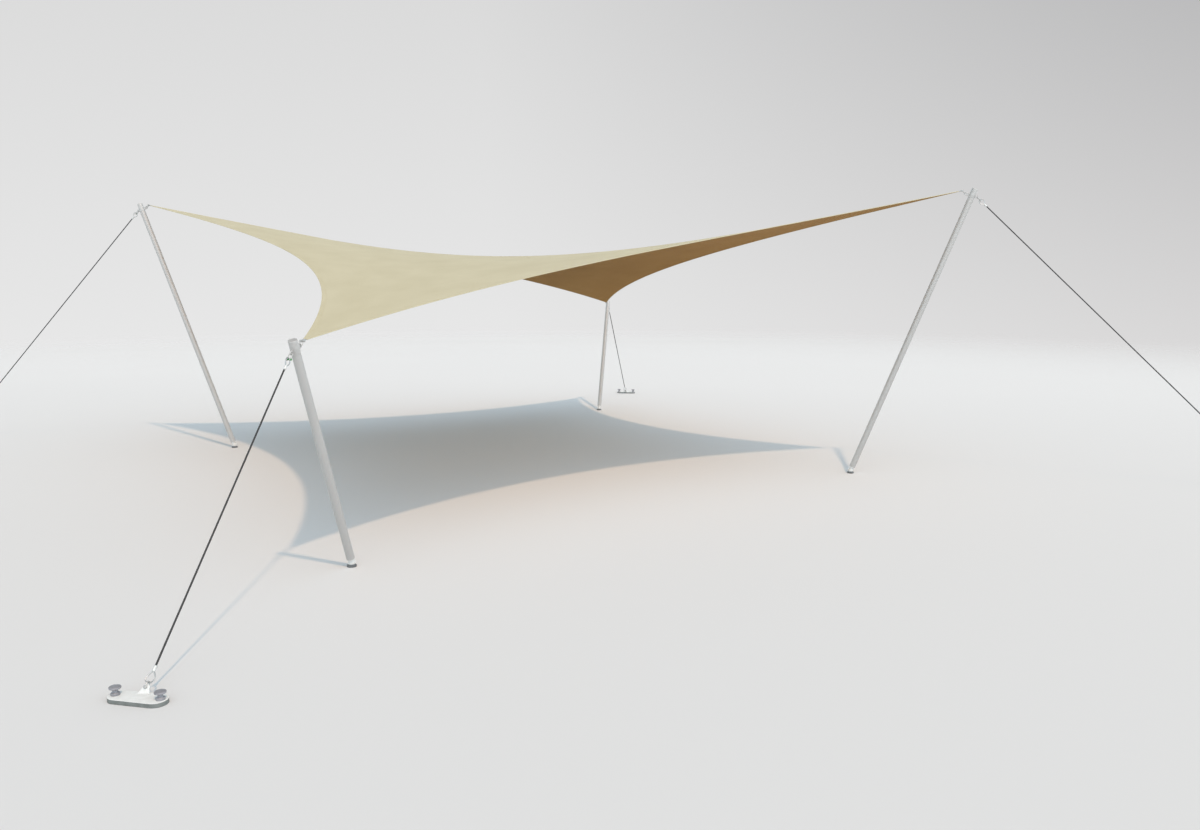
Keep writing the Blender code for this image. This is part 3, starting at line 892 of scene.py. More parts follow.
# Drop-forged steel, dull grey zinc over hammer marks
stake_steel = grained("drop_forged_steel", "#A3A2A7", "#8C8B90", 0.56, 0.5, 0.004, 0.0006)


# ---- Sail -------------------------------------------------------------------


def stretched_net(corners, cells, edge_force):
    """Where the knots of a square net rest when its four corners are held.

    Every string pulls in proportion to its own length: those of the web by 1, and those along the
    four edges by edge_force. Each knot then lies where the pulls on it cancel.
    """
    knots = cells + 1
    index = np.arange(knots * knots).reshape(knots, knots)
    pull = np.zeros((knots * knots, knots * knots))
    for grid in (index, index.T):
        for row in range(knots):
            force = edge_force if row in (0, cells) else 1.0
            for first, second in zip(grid[row, :-1], grid[row, 1:]):
                pull[first, first] += force
                pull[second, second] += force
                pull[first, second] -= force
                pull[second, first] -= force
    held = [index[0, 0], index[cells, 0], index[cells, cells], index[0, cells]]
    free = [n for n in range(knots * knots) if n not in held]
    places = np.zeros((knots * knots, 3))
    places[held] = corners
    places[free] = np.linalg.solve(pull[np.ix_(free, free)], -pull[np.ix_(free, held)] @ places[held])
    return places.reshape(knots, knots, 3)


def smooth_weights(knots, spots):
    """Weights that read a smooth curve through evenly spaced knots at spots from 0 to 1."""
    weights = np.zeros((len(spots), knots + 2))
    for row, spot in enumerate(np.clip(spots, 0, 1)):
        place = spot * (knots - 1)
        first = min(int(place), knots - 2)
        t = place - first
        shares = (
            (-(t**3) + 2 * t**2 - t) / 2,
            (3 * t**3 - 5 * t**2 + 2) / 2,
            (-3 * t**3 + 4 * t**2 + t) / 2,
            (t**3 - t**2) / 2,
        )
        weights[row, first : first + 4] += shares
    # Beyond each end the curve runs straight on.
    weights[:, 1] += 2 * weights[:, 0]
    weights[:, 2] -= weights[:, 0]
    weights[:, -2] += 2 * weights[:, -1]
    weights[:, -3] -= weights[:, -1]
    return weights[:, 1:-1]


class Sail:
    """The stretched surface, read at any pair of places from 0 to 1 across and along the net."""

    def __init__(self, pins):
        self.net = stretched_net(np.array(pins), NET_CELLS, EDGE_TO_WEB_FORCE * NET_CELLS)

    def grid(self, us, vs):
        """Points at every pair of us and vs."""
        left = smooth_weights(NET_CELLS + 1, us)
        right = smooth_weights(NET_CELLS + 1, vs)
        return np.einsum("ai,ijk,bj->abk", left, self.net, right)

    def points(self, us, vs):
        """Points at each u with the v beside it."""
        left = smooth_weights(NET_CELLS + 1, us)
        right = smooth_weights(NET_CELLS + 1, vs)
        return np.einsum("ai,ijk,aj->ak", left, self.net, right)

    def ups(self, us, vs):
        """The way that is up, square to the surface."""
        step = 0.004
        us, vs = np.clip(us, step, 1 - step), np.clip(vs, step, 1 - step)
        across = self.points(us + step, vs) - self.points(us - step, vs)
        along = self.points(us, vs + step) - self.points(us, vs - step)
        normals = np.cross(across, along)
        normals *= np.sign(normals[:, 2:3])
        return normals / np.linalg.norm(normals, axis=1, keepdims=True)


def unit(rows):
    return rows / np.linalg.norm(rows, axis=-1, keepdims=True)


def cloth_sheet(sail, pins, inwards):
    """The sheet itself, cut off between each clamp's jaws, cream above and brown below."""
    spots = np.linspace(0, 1, SHEET_CELLS + 1)
    places = sail.grid(spots, spots)
    sheet = bmesh.new()
    chart = sheet.loops.layers.uv.new("surface")
    grid = [[sheet.verts.new(place) for place in row] for row in places]
    for i in range(SHEET_CELLS):
        for j in range(SHEET_CELLS):
            corners = ((i, j), (i + 1, j), (i + 1, j + 1), (i, j + 1))
            face = sheet.faces.new([grid[a][b] for a, b in corners])
            for loop, (a, b) in zip(face.loops, corners):
                loop[chart].uv = (spots[a] * CLOTH_WIDTH, spots[b] * CLOTH_WIDTH)
    for pin, inward in zip(pins, inwards):
        bmesh.ops.bisect_plane(
            sheet,
            geom=sheet.verts[:] + sheet.edges[:] + sheet.faces[:],
            dist=MERGE,
            plane_co=pin + CLOTH_START * inward,
            plane_no=-inward,
            clear_outer=True,
        )
    if sum(face.normal.z for face in sheet.faces) < 0:
        bmesh.ops.reverse_faces(sheet, faces=sheet.faces)
    mesh = bpy.data.meshes.new("sheet")
    sheet.to_mesh(mesh)
    sheet.free()
    mesh.materials.append(cream_cloth)
    mesh.materials.append(brown_cloth)
    carrier = bpy.data.objects.new("sheet", mesh)
    wall = carrier.modifiers.new("wall", "SOLIDIFY")
    wall.thickness = CLOTH_THICKNESS
    wall.offset = 0
    wall.material_offset = 1
    return evaluated(carrier)


def edge_frames(sail, side):
    """Points along one edge of the sail, from clamp to clamp, with the ways in and up at each."""
    dense = np.linspace(0, 1, 801)
    runs = (
        (dense, dense * 0, (0, 1)),
        (dense * 0 + 1, dense, (-1, 0)),
        (1 - dense, dense * 0 + 1, (0, -1)),
        (dense * 0, 1 - dense, (1, 0)),
    )
    us, vs, (du, dv) = runs[side]
    line = sail.points(us, vs)
    from_start = np.linalg.norm(line - line[0], axis=1)
    from_end = np.linalg.norm(line - line[-1], axis=1)
    keep = (from_start >= HEM_START) & (from_end >= HEM_START)
    lengths = np.concatenate([[0], np.cumsum(np.linalg.norm(np.diff(line, axis=0), axis=1))])
    count = int((lengths[keep][-1] - lengths[keep][0]) / HEM_STEP) + 1
    wanted = np.linspace(lengths[keep][0], lengths[keep][-1], count)
    us, vs = np.interp(wanted, lengths, us), np.interp(wanted, lengths, vs)
    line = sail.points(us, vs)
    forward = unit(np.gradient(line, axis=0))
    nudge = 0.01
    inward = sail.points(us + du * nudge, vs + dv * nudge) - line
    inward = unit(inward - np.sum(inward * forward, axis=1, keepdims=True) * forward)
    up = np.cross(forward, inward)
    up *= np.sign(up[:, 2:3])
    return line, inward, up


def hem(line, inward, up):
    """The cloth's edge, folded round a cord: a leaf above, a round bead, and a leaf below."""
    half = CLOTH_THICKNESS / 2
    outer = half + HEM_LEAF
    leaf = [(HEM_WIDTH, half * 0.8), (HEM_WIDTH - 0.0006, outer), (0.018, outer), (0.009, outer * 1.2)]
    bead = arc(HEM_BEAD, math.radians(58), math.radians(302), 11)
    section = leaf + bead + [(s, -h) for s, h in reversed(leaf)]
    sections = [
        [place + s * into + h * above for s, h in section]
        for place, into, above in zip(line, inward, up)
    ]
    under = len(leaf) + len(bead)
    slots = [0 if n < under else 1 for n in range(len(section))]
    return skinned(sections, slots)


def corner_patches(sail, corner):
    """Doubled cloth over the sail's corner, above and below, and the lines of its inner stitches."""
    u_in, v_in = ((1, 1), (-1, 1), (-1, -1), (1, -1))[corner]
    u0, v0 = (0 if u_in > 0 else 1), (0 if v_in > 0 else 1)
    dense = np.linspace(0, 0.2, 401)
    reach = np.linalg.norm(
        sail.points(u0 + u_in * dense / 2, v0 + v_in * dense / 2) - sail.points([u0], [v0]), axis=1
    )
    rows = np.interp(np.linspace(PATCH_START, PATCH_LENGTH, 16), reach, dense)
    columns = np.linspace(0, 1, 13)
    middles, ups = [], []
    for row in rows:
        ends = sail.points([u0 + u_in * row, u0], [v0, v0 + v_in * row])
        margin = 0.006 / np.linalg.norm(ends[0] - ends[1])
        shares = margin + (1 - 2 * margin) * columns
        # The patch's inner edge is hollow, as the sail's own edges are.
        us, vs = u0 + u_in * row * shares, v0 + v_in * row * (1 - shares)
        middles.append(sail.points(us, vs))
        ups.append(sail.ups(us, vs))
    middles, ups = np.array(middles), np.array(ups)
    layers = [middles + side * lift * ups for side in (1, -1) for lift in (PATCH_LIFT, PATCH_LIFT + PATCH_THICKNESS)]
    return [(slab(*layers[:2]), cream_cloth), (slab(*layers[2:]), brown_cloth)], middles[-2], ups[-2]


# ---- Fittings ---------------------------------------------------------------

UPRIGHT = Matrix.Rotation(math.pi / 2, 4, "X")  # lays a plate from the XY plane into the XZ plane
CROSSWISE = Matrix.Rotation(math.pi / 2, 4, "Z") @ UPRIGHT  # lays it into the YZ plane
ALONG_Y = Matrix.Rotation(-math.pi / 2, 4, "X")  # turns +Z over to +Y
STILL = Matrix.Identity(4)


def at(*place):
    return Matrix.Translation(place)


def lug(reach, height):
    """Eye plate from inside the cap out to its hole."""
    outward = math.copysign(1, reach)
    root = outward * MAST_RADIUS / 2
    start, end = (-math.pi / 2, math.pi / 2) if outward > 0 else (math.pi / 2, 3 * math.pi / 2)
    edge = arc(LUG_END_RADIUS, start, end, 21, (reach, height))
    edge = edge + [(root, edge[-1][1]), (root, edge[0][1])]
    plate = flat_plate([edge, hole(LUG_HOLE_RADIUS, (reach, height))], LUG_THICKNESS, 0.0015)
    plate.transform(UPRIGHT)
    return plate


def mast_head():
    """Cap with its two lugs. Its frame has the mast's axis as Z, with 0 at the mast's top."""
    cap = turned(
        rounded(
            [
                (0, -0.0015),
                (0.030, -0.0015),
                (0.0315, 0),
                (MAST_RADIUS, 0),
                (MAST_RADIUS, -HEAD_LENGTH + 0.0012),
                (MAST_RADIUS - 0.0012, -HEAD_LENGTH),
                (BORE_RADIUS, -HEAD_LENGTH),
                (BORE_RADIUS, -HEAD_LENGTH - 0.04),
                (0, -HEAD_LENGTH - 0.04),
            ],
            [0, 0.0008, 0.0008, HEAD_EDGE, 0.0004, 0.0004, 0, 0.001, 0],
            steps=4,
        ),
        MAST_STEPS,
    )
    sockets = [(math.radians(90 * n + 45), -HEAD_LENGTH - 0.035) for n in range(4)]
    spots = [(MAST_RADIUS * math.cos(a), MAST_RADIUS * math.sin(a), h) for a, h in sockets]
    ways = [(math.cos(a), math.sin(a), 0) for a, _ in sockets]
    rivets = grown(
        studs,
        path_mesh(spots, ways, linked=False),
        {"Size": (0.011, 0.011, 0.005), "Material": head_metal},
    )
    return [
        (cap, head_metal, STILL),
        (lug(-INNER_LUG_REACH, -INNER_LUG_DROP), head_metal, STILL),
        (lug(OUTER_LUG_REACH, -OUTER_LUG_DROP), head_metal, STILL),
        (rivets, head_metal, STILL),
    ]


def mast_foot():
    """Plug with a collar and a ball. The ball's middle is the origin."""
    ball = arc(BALL_RADIUS, math.acos(NECK_RADIUS / BALL_RADIUS), -math.pi / 2, 22)
    plug = turned(
        [
            (0, COLLAR_TOP + 0.02),
            (BORE_RADIUS, COLLAR_TOP + 0.02),
            (BORE_RADIUS, COLLAR_TOP),
            *rounded(
                [
                    (BORE_RADIUS, COLLAR_TOP),
                    (MAST_RADIUS, COLLAR_TOP),
                    (MAST_RADIUS, COLLAR_TOP - COLLAR_HEIGHT),
                    (NECK_RADIUS, COLLAR_TOP - COLLAR_HEIGHT),
                    (NECK_RADIUS, ball[0][1]),
                ],
                [0, 0.0008, 0.0025, 0.002, 0],
            )[1:-1],
            *ball[:-1],
            (0, -BALL_RADIUS),
        ],
        MAST_STEPS,
    )
    return [(plug, foot_plastic, STILL)]


def base_disc():
    """Disc on the ground with a dish and a raised lip for the ball."""
    lip_angle = math.asin((BASE_LIP_HEIGHT - BALL_HEIGHT) / BALL_RADIUS)
    dish = arc(BALL_RADIUS + 0.0004, -math.pi / 2, lip_angle, 12, (0, BALL_HEIGHT))
    disc = turned(
        [
            (0, dish[0][1]),
            *dish[1:],
            *rounded(
                [
                    dish[-1],
                    (BASE_LIP_RADIUS - 0.002, BASE_LIP_HEIGHT),
                    (BASE_LIP_RADIUS, BASE_THICKNESS),
                    (BASE_RADIUS, BASE_THICKNESS),
                    (BASE_RADIUS, 0),
                    (0, 0),
                ],
                [0, 0.0015, 0.002, 0.002, 0.0006, 0],
            )[1:],
        ],
        MAST_STEPS,
    )
    return [(disc, base_steel, STILL)]


def six_sided(radius, length, chamfer=0.0015):
    """A bolt's head or nut along Z, from 0 to its length, with its corners turned off."""
    flat = radius * math.cos(math.pi / 6)
    head = turned(
        [(0, length), (flat - chamfer / 2, length), (radius, length - chamfer), (radius, 0), (0, 0)], 6
    )
    return head


def shackle(pitch, painted_end=0):
    """Bow and pin. It pulls along Z, with the crown of its bow at 0 and its pin along Y."""
    crown = [(0, y, z) for z, y in arc(BOW_RADIUS, math.pi * 1.5, math.pi * 0.5, 21, (BOW_RADIUS, 0))]
    legs = [(0, -BOW_RADIUS, pitch)] + crown + [(0, BOW_RADIUS, pitch)]
    eye = rounded(
        [
            (PIN_RADIUS, BOW_BAR_RADIUS),
            (PIN_EYE_RADIUS, BOW_BAR_RADIUS),
            (PIN_EYE_RADIUS, -BOW_BAR_RADIUS),
            (PIN_RADIUS, -BOW_BAR_RADIUS),
        ],
        0.003,
        closed=True,
    )
    eye_ring = turned(eye, closed=True)
    outer_face = BOW_RADIUS + BOW_BAR_RADIUS
    shaft = turned(
        rounded(
            [(0, outer_face), (PIN_RADIUS, outer_face), (PIN_RADIUS, -outer_face), (0, -outer_face)], 0.001
        )
    )
    head = six_sided(PIN_HEAD_RADIUS, PIN_HEAD_LENGTH)
    parts = [(bar(legs, BOW_BAR_RADIUS), shackle_steel, STILL)]
    middle = at(0, 0, pitch)
    for side in (-1, 1):
        ring_place = at(0, side * BOW_RADIUS, pitch) @ ALONG_Y
        parts.append((eye_ring, shackle_steel, ring_place))
        outward = ALONG_Y if side > 0 else ALONG_Y.inverted()
        paint = pin_enamel if side == painted_end else shackle_steel
        parts.append((head, paint, middle @ outward @ at(0, 0, outer_face)))
    parts.append((shaft, pin_enamel if painted_end else shackle_steel, middle @ ALONG_Y))
    return parts


def sail_clamp():
    """Eye on the shackle pin and two jaws, bolted together over the cloth. The pin's middle is 0."""
    eye_edge = [(x, -y) for x, y in arc(CLAMP_EYE_RADIUS, 0, math.pi, 21)[::-1]]
    neck = CLAMP_THICKNESS / 2
    eye_edge += [(neck, CLAMP_START + neck), (-neck, CLAMP_START + neck)]
    eye = flat_plate([eye_edge[::-1], hole(PIN_RADIUS + SEAT)[::-1]], CLAMP_EYE_THICKNESS, 0.0015)
    eye.transform(UPRIGHT)
    jaw_edge = rounded(
        [
            (-CLAMP_NARROW / 2, CLAMP_START),
            (CLAMP_NARROW / 2, CLAMP_START),
            (CLAMP_WIDE / 2, CLAMP_END),
            (-CLAMP_WIDE / 2, CLAMP_END),
        ],
        0.004,
        closed=True,
        steps=5,
    )
    jaw_thickness = CLAMP_THICKNESS / 2 - CLOTH_THICKNESS / 2
    jaw = flat_plate([jaw_edge], jaw_thickness, 0.001)
    jaw.transform(CROSSWISE)
    offset = (CLAMP_THICKNESS - jaw_thickness) / 2
    parts = [(eye, shackle_steel, STILL)]
    for side in (-1, 1):
        parts.append((jaw, shackle_steel, at(side * offset, 0, 0)))
        spots = [(side * CLAMP_THICKNESS / 2, y, CLAMP_BOLT_AT) for y in (-0.009, 0.009)]
        heads = grown(
            bolts,
            path_mesh(spots, [(side, 0, 0)] * 2, linked=False),
            {
                "Head Radius": CLAMP_BOLT_RADIUS,
                "Head Height": 0.0035,
                "Washer Radius": CLAMP_BOLT_RADIUS + 0.001,
                "Washer Thickness": 0.001,
                "Material": shackle_steel,
            },
        )
        parts.append((heads, shackle_steel, STILL))
    return parts


def eye_path(count):
    """The drop-shaped line of a rope's eye, with its far end at 0, and the way out of it."""
    widest = 0.77
    first_turn = 0.50
    turns = np.linspace(first_turn, math.tau - first_turn, count)
    across = EYE_WIDTH / 2 * np.sin(turns) * np.sin(turns / 2) / widest
    down = EYE_LENGTH / 2 * (1 + np.cos(turns))
    line = np.stack([across, np.zeros(count), down], axis=1)
    forward = unit(np.gradient(line, axis=0))
    outward = np.stack([-forward[:, 2], np.zeros(count), forward[:, 0]], axis=1)
    return line, outward


def rope_eye():
    """Rope laid round a thimble: a channel that lines the loop, with the bare wires in it."""
    line, outward = eye_path(61)
    if outward[30][2] > 0:
        outward = -outward
    across = np.array([0.0, 1.0, 0.0])
    half = EYE_BAR_RADIUS
    upper_half = [
        (-half, 0.0029),
        (-0.0029, 0.0048),
        (0.0017, 0.0055),
        (0.0018, 0.0045),
        (-0.0021, 0.0038),
        (-0.0037, 0.0021),
    ]
    channel = [(-half, -0.0029), *upper_half, *[(n, -b) for n, b in upper_half[:0:-1]]]
    sections = [[place + n * out + b * across for n, b in channel] for place, out in zip(line, outward)]
    thimble = skinned(sections)
    strands = grown(
        laid_rope,
        path_mesh(line + 0.0007 * outward),
        {
            "Strands": 6,
            "Radius": 0.0042,
            "Groove Radius": 0.0036,
            "Lay Length": 0.048,
            "Step": 0.003,
            "Material": bare_wire,
        },
    )
    return [(thimble, shackle_steel, STILL), (strands, bare_wire, STILL)]


def ferrule():
    """Pressed sleeve from 0 down along Z, with the ridges that the press leaves."""
    ridge = 0.0006
    wave = []
    count = 22
    for n in range(count + 1):
        share = n / count
        height = 0.004 + (FERRULE_LENGTH - 0.010) * share
        wave.append((FERRULE_RADIUS - ridge + ridge * math.cos(share * math.tau * 5), height))
    profile = [(0, 0), (FERRULE_RADIUS - 0.0025, 0), *wave]
    profile += rounded(
        [wave[-1], (FERRULE_RADIUS - 0.001, FERRULE_LENGTH - 0.004), (ROPE_RADIUS + 0.001, FERRULE_LENGTH), (0, FERRULE_LENGTH)],
        0.002,
    )[1:]
    sleeve = turned(profile[::-1])
    return sleeve


def stay_rope(length):
    """Rope with an eye and a sleeve at each end, turned a quarter from each other, down along Z."""
    upper_end = EYE_LENGTH - 2 * EYE_BAR_RADIUS
    rope_line = [(0, 0, upper_end + FERRULE_LENGTH - 0.006), (0, 0, length - upper_end - FERRULE_LENGTH + 0.006)]
    rope = grown(
        laid_rope,
        path_mesh(rope_line),
        {
            "Strands": 6,
            "Radius": ROPE_RADIUS,
            "Groove Radius": ROPE_RADIUS - 0.0009,
            "Lay Length": ROPE_LAY,
            "Step": ROPE_LAY / 12,
            "Material": rope_sheath,
        },
    )
    turned_over = at(0, 0, length) @ Matrix.Rotation(math.pi, 4, "X") @ Matrix.Rotation(math.pi / 2, 4, "Z")
    parts = [(rope, rope_sheath, STILL)]
    sleeve = ferrule()
    for end in (STILL, turned_over):
        parts += [(mesh, finish, end) for mesh, finish, _ in rope_eye()]
        parts.append((sleeve, ferrule_metal, end @ at(0, 0, upper_end)))
    return parts


def ground_plate(stay, hole_to_top):
    """Long plate with round ends and a leaning tab, welded on. Its sides are a darker grey than its top."""
    end_radius = PLATE_WIDTH / 2
    straight = PLATE_LENGTH / 2 - end_radius
    edge = arc(end_radius, 0, math.pi, 33, (0, straight))
    edge += arc(end_radius, math.pi, math.tau, 33, (0, -straight))
    holes = [hole(STAKE_SHANK_RADIUS + 0.0003, (0, side * STAKE_SPACING / 2)) for side in (-1, 1)]
    plate = flat_plate([edge, *holes], PLATE_THICKNESS, 0.0025)
    paint_sides(plate)
    root = hole_to_top + TAB_ROOT_DEPTH
    tab_edge = arc(TAB_END_RADIUS, math.pi, math.tau, 25)
    tab_edge += [(TAB_ROOT_WIDTH / 2, root), (-TAB_ROOT_WIDTH / 2, root)]
    tab = flat_plate([tab_edge, hole(TAB_HOLE_RADIUS)], TAB_THICKNESS, 0.0012)
    tab.transform(stay @ CROSSWISE)
    # The weld runs where the tab's two faces meet the plate's top.
    parts = [
        (plate, [plate_coat, plate_side], at(0, 0, PLATE_THICKNESS / 2)),
        (tab, plate_coat, STILL),
    ]
    down = (stay.to_3x3() @ Vector((0, 0, 1))).normalized()
    for side in (-1, 1):
        start = stay @ Vector((side * TAB_THICKNESS / 2, 0, 0))
        reach = (PLATE_THICKNESS - start.z) / down.z
        foot = start + down * reach
        half = TAB_ROOT_WIDTH / 2 - 0.003
        line = [(foot.x, y, PLATE_THICKNESS) for y in np.linspace(-half, half, 9)]
        weld = grown(
            bead_row,
            path_mesh(line, [(0, 0, 1)] * len(line)),
            {"Pitch": 0.0032, "Size": (0.006, 0.011, 0.008), "Slant": 0.0, "Material": plate_coat},
        )
        parts.append((weld, plate_coat, STILL))
    return parts


def stake():
    """Stake with a mushroom head and a flange, standing on the plate's top. The ground is at 0."""
    top = PLATE_THICKNESS + STAKE_HEIGHT
    rim_top = top - STAKE_DOME_HEIGHT
    rim_end = rim_top - STAKE_RIM_HEIGHT
    flange_top = PLATE_THICKNESS + STAKE_FLANGE_HEIGHT
    profile = rounded(
        [
            (0, top),
            (STAKE_CROWN_RADIUS, top - STAKE_CROWN_DROP),
            (STAKE_HEAD_RADIUS, rim_top),
            (STAKE_HEAD_RADIUS, rim_end),
            (STAKE_NECK_RADIUS, rim_end - STAKE_HEAD_TAPER),
            (STAKE_NECK_RADIUS, flange_top + STAKE_FLANGE_TAPER),
            (STAKE_FLANGE_RADIUS, flange_top),
            (STAKE_FLANGE_RADIUS, PLATE_THICKNESS + 0.0003),
            (STAKE_SHANK_RADIUS, PLATE_THICKNESS + 0.0003),
            (STAKE_SHANK_RADIUS, 0.0),
            (0, 0.0),
        ],
        [0, 0.02, 0.003, 0.002, 0.006, 0.006, 0.003, 0.001, 0, 0.001, 0],
        steps=4,
    )
    return [(turned(profile, 48), stake_steel, STILL)]


# ---- Putting the tent together ----------------------------------------------


def turn_down(angle):
    """Turns Z over towards +X by an angle."""
    return Matrix.Rotation(angle, 4, "Y")


def laid(parts, matrix):
    """The same parts in another frame."""
    return [(mesh, finish, matrix @ own) for mesh, finish, own in parts]


def stand_in(name, parts):
    """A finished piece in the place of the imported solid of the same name."""
    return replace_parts(piece(name + "_dressed", parts), name)


def build_corner(name, side, azimuth):
    """All pieces of one corner. Returns the sail pin's place and the way from it into the sail."""
    turn = Matrix.Rotation(math.radians(azimuth), 4, "Z")
    foot_place = Vector((side.foot_reach + BALL_HEIGHT * math.tan(side.mast_lean), 0, BALL_HEIGHT))
    stand_in(f"{name}_base", laid(shapes["base"], turn @ at(foot_place.x, 0, 0)))

    axis = Matrix.Translation(foot_place) @ turn_down(side.mast_lean)
    top = (side.top_height - BALL_HEIGHT) / math.cos(side.mast_lean)
    wall = rounded(
        [
            (BORE_RADIUS, top - HEAD_LENGTH - 0.0006),
            (MAST_RADIUS, top - HEAD_LENGTH - 0.0006),
            (MAST_RADIUS, COLLAR_TOP + 0.0006),
            (BORE_RADIUS, COLLAR_TOP + 0.0006),
        ],
        0.0006,
        closed=True,
    )
    stand_in(
        f"{name}_mast", laid([(turned(wall, MAST_STEPS, closed=True), mast_metal, STILL)], turn @ axis)
    )
    stand_in(f"{name}_mast_foot", laid(shapes["foot"], turn @ axis))
    stand_in(f"{name}_mast_head", laid(shapes["head"], turn @ axis @ at(0, 0, top)))

    inner_hole = axis @ Vector((-INNER_LUG_REACH, 0, top - INNER_LUG_DROP))
    link = Matrix.Translation(inner_hole) @ turn_down(LINK_RISE - math.pi / 2)
    link_parts = laid(shackle(SAIL_PITCH), turn @ link @ at(0, 0, CROWN_OFFSET))
    stand_in(f"{name}_sail_shackle", link_parts)
    sail_pin = link @ Vector((0, 0, CROWN_OFFSET + SAIL_PITCH))
    clamp_place = turn @ Matrix.Translation(sail_pin) @ turn_down(side.sail_slope - math.pi / 2)
    stand_in(f"{name}_sail_clamp", laid(shapes["clamp"], clamp_place))

    outer_hole = axis @ Vector((OUTER_LUG_REACH, 0, top - OUTER_LUG_DROP))
    tab_hole = Vector((side.plate_reach - TAB_HOLE_INSET, 0, TAB_HOLE_HEIGHT))
    span = tab_hole - outer_hole
    stay_turn = turn_down(math.atan2(span.x, span.z))
    stay = turn @ Matrix.Translation(outer_hole) @ stay_turn
    stand_in(
        f"{name}_upper_shackle",
        laid(shackle(UPPER_PITCH, PAINTED_END[name]), stay @ at(0, 0, CROWN_OFFSET)),
    )
    eye_start = CROWN_OFFSET + UPPER_PITCH - PIN_RADIUS - EYE_BAR_RADIUS - SEAT
    lower_pin = span.length - (TAB_HOLE_RADIUS - PIN_RADIUS - SEAT)
    lower_crown = lower_pin - LOWER_PITCH
    eye_end = lower_crown + BOW_BAR_RADIUS + EYE_BAR_RADIUS + SEAT
    stand_in(f"{name}_stay_rope", laid(stay_rope(eye_end - eye_start), stay @ at(0, 0, eye_start)))
    stand_in(
        f"{name}_lower_shackle",
        laid(shackle(LOWER_PITCH), stay @ at(0, 0, lower_crown) @ Matrix.Rotation(math.pi / 2, 4, "Z")),
    )

    to_plate = at(side.plate_reach, 0, 0)
    tab_place = to_plate.inverted() @ Matrix.Translation(tab_hole) @ stay_turn
    hole_to_top = (TAB_HOLE_HEIGHT - PLATE_THICKNESS) * span.length / -span.z
    stand_in(
        f"{name}_ground_plate", laid(ground_plate(tab_place, hole_to_top), turn @ to_plate)
    )
    for hand, label in ((-1, "stake_1"), (1, "stake_2")):
        spot = turn @ at(side.plate_reach, hand * STAKE_SPACING / 2, 0)
        stand_in(f"{name}_{label}", laid(shapes["stake"], spot))

    return turn @ sail_pin, clamp_place.to_3x3() @ Vector((0, 0, 1))


laid_rope = laid_rope_tree()
bead_row = bead_row_tree()
bolts = bolts_tree()
studs = studs_tree()
shapes = {
    "head": mast_head(),
    "foot": mast_foot(),
    "base": base_disc(),
    "clamp": sail_clamp(),
    "stake": stake(),
}
ends = [build_corner(name, *where) for name, where in CORNERS.items()]
pins = [pin for pin, _ in ends]
inwards = [inward for _, inward in ends]

sail = Sail(pins)
canopy = piece("canopy_sheet", [(cloth_sheet(sail, pins, inwards), [cream_cloth, brown_cloth], STILL)])
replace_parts(canopy, "canopy")

hem_parts, patch_parts = [], []
stitches = {1: [], -1: []}
STITCH = {"Pitch": 0.020, "Size": (0.014, 0.0022, 0.0016), "Slant": math.radians(50)}
threads = {1: cream_thread, -1: brown_thread}
for side in range(4):
    line, inward, up = edge_frames(sail, side)
    hem_parts.append((hem(line, inward, up), [cream_cloth, brown_cloth], STILL))
    patches, border, border_up = corner_patches(sail, side)
    patch_parts += [(mesh, finish, STILL) for mesh, finish in patches]
    hem_lift = CLOTH_THICKNESS / 2 + HEM_LEAF
    patch_lift = PATCH_LIFT + PATCH_THICKNESS
    for face, thread in threads.items():
        rows = [(line + into * inward + face * hem_lift * up, face * up) for into in (0.012, HEM_WIDTH - 0.006)]
        rows.append((border + face * patch_lift * border_up, face * border_up))
        for places, ups in rows:
            row = grown(bead_row, path_mesh(places, ups), {**STITCH, "Material": thread})
            stitches[face].append((row, thread, STILL))
trims = [
    piece("canopy_hem", hem_parts),
    piece("canopy_corner_patches", patch_parts),
    piece("canopy_stitches_above", stitches[1]),
    piece("canopy_stitches_below", stitches[-1]),
]


# ---- Floor, light and camera ------------------------------------------------

FLOOR_RADIUS = 44.0
FLOOR_FADE = 24.0
SUN_WAY = Vector((0.410, -0.520, 1.0))
SKY_COLOUR = (1.92, 2.22, 2.34, 1.0)
GLOW_COLOUR = (1.45, 1.67, 1.87, 1.0)
GROUND_COLOUR = (0.78, 0.78, 0.78, 1.0)


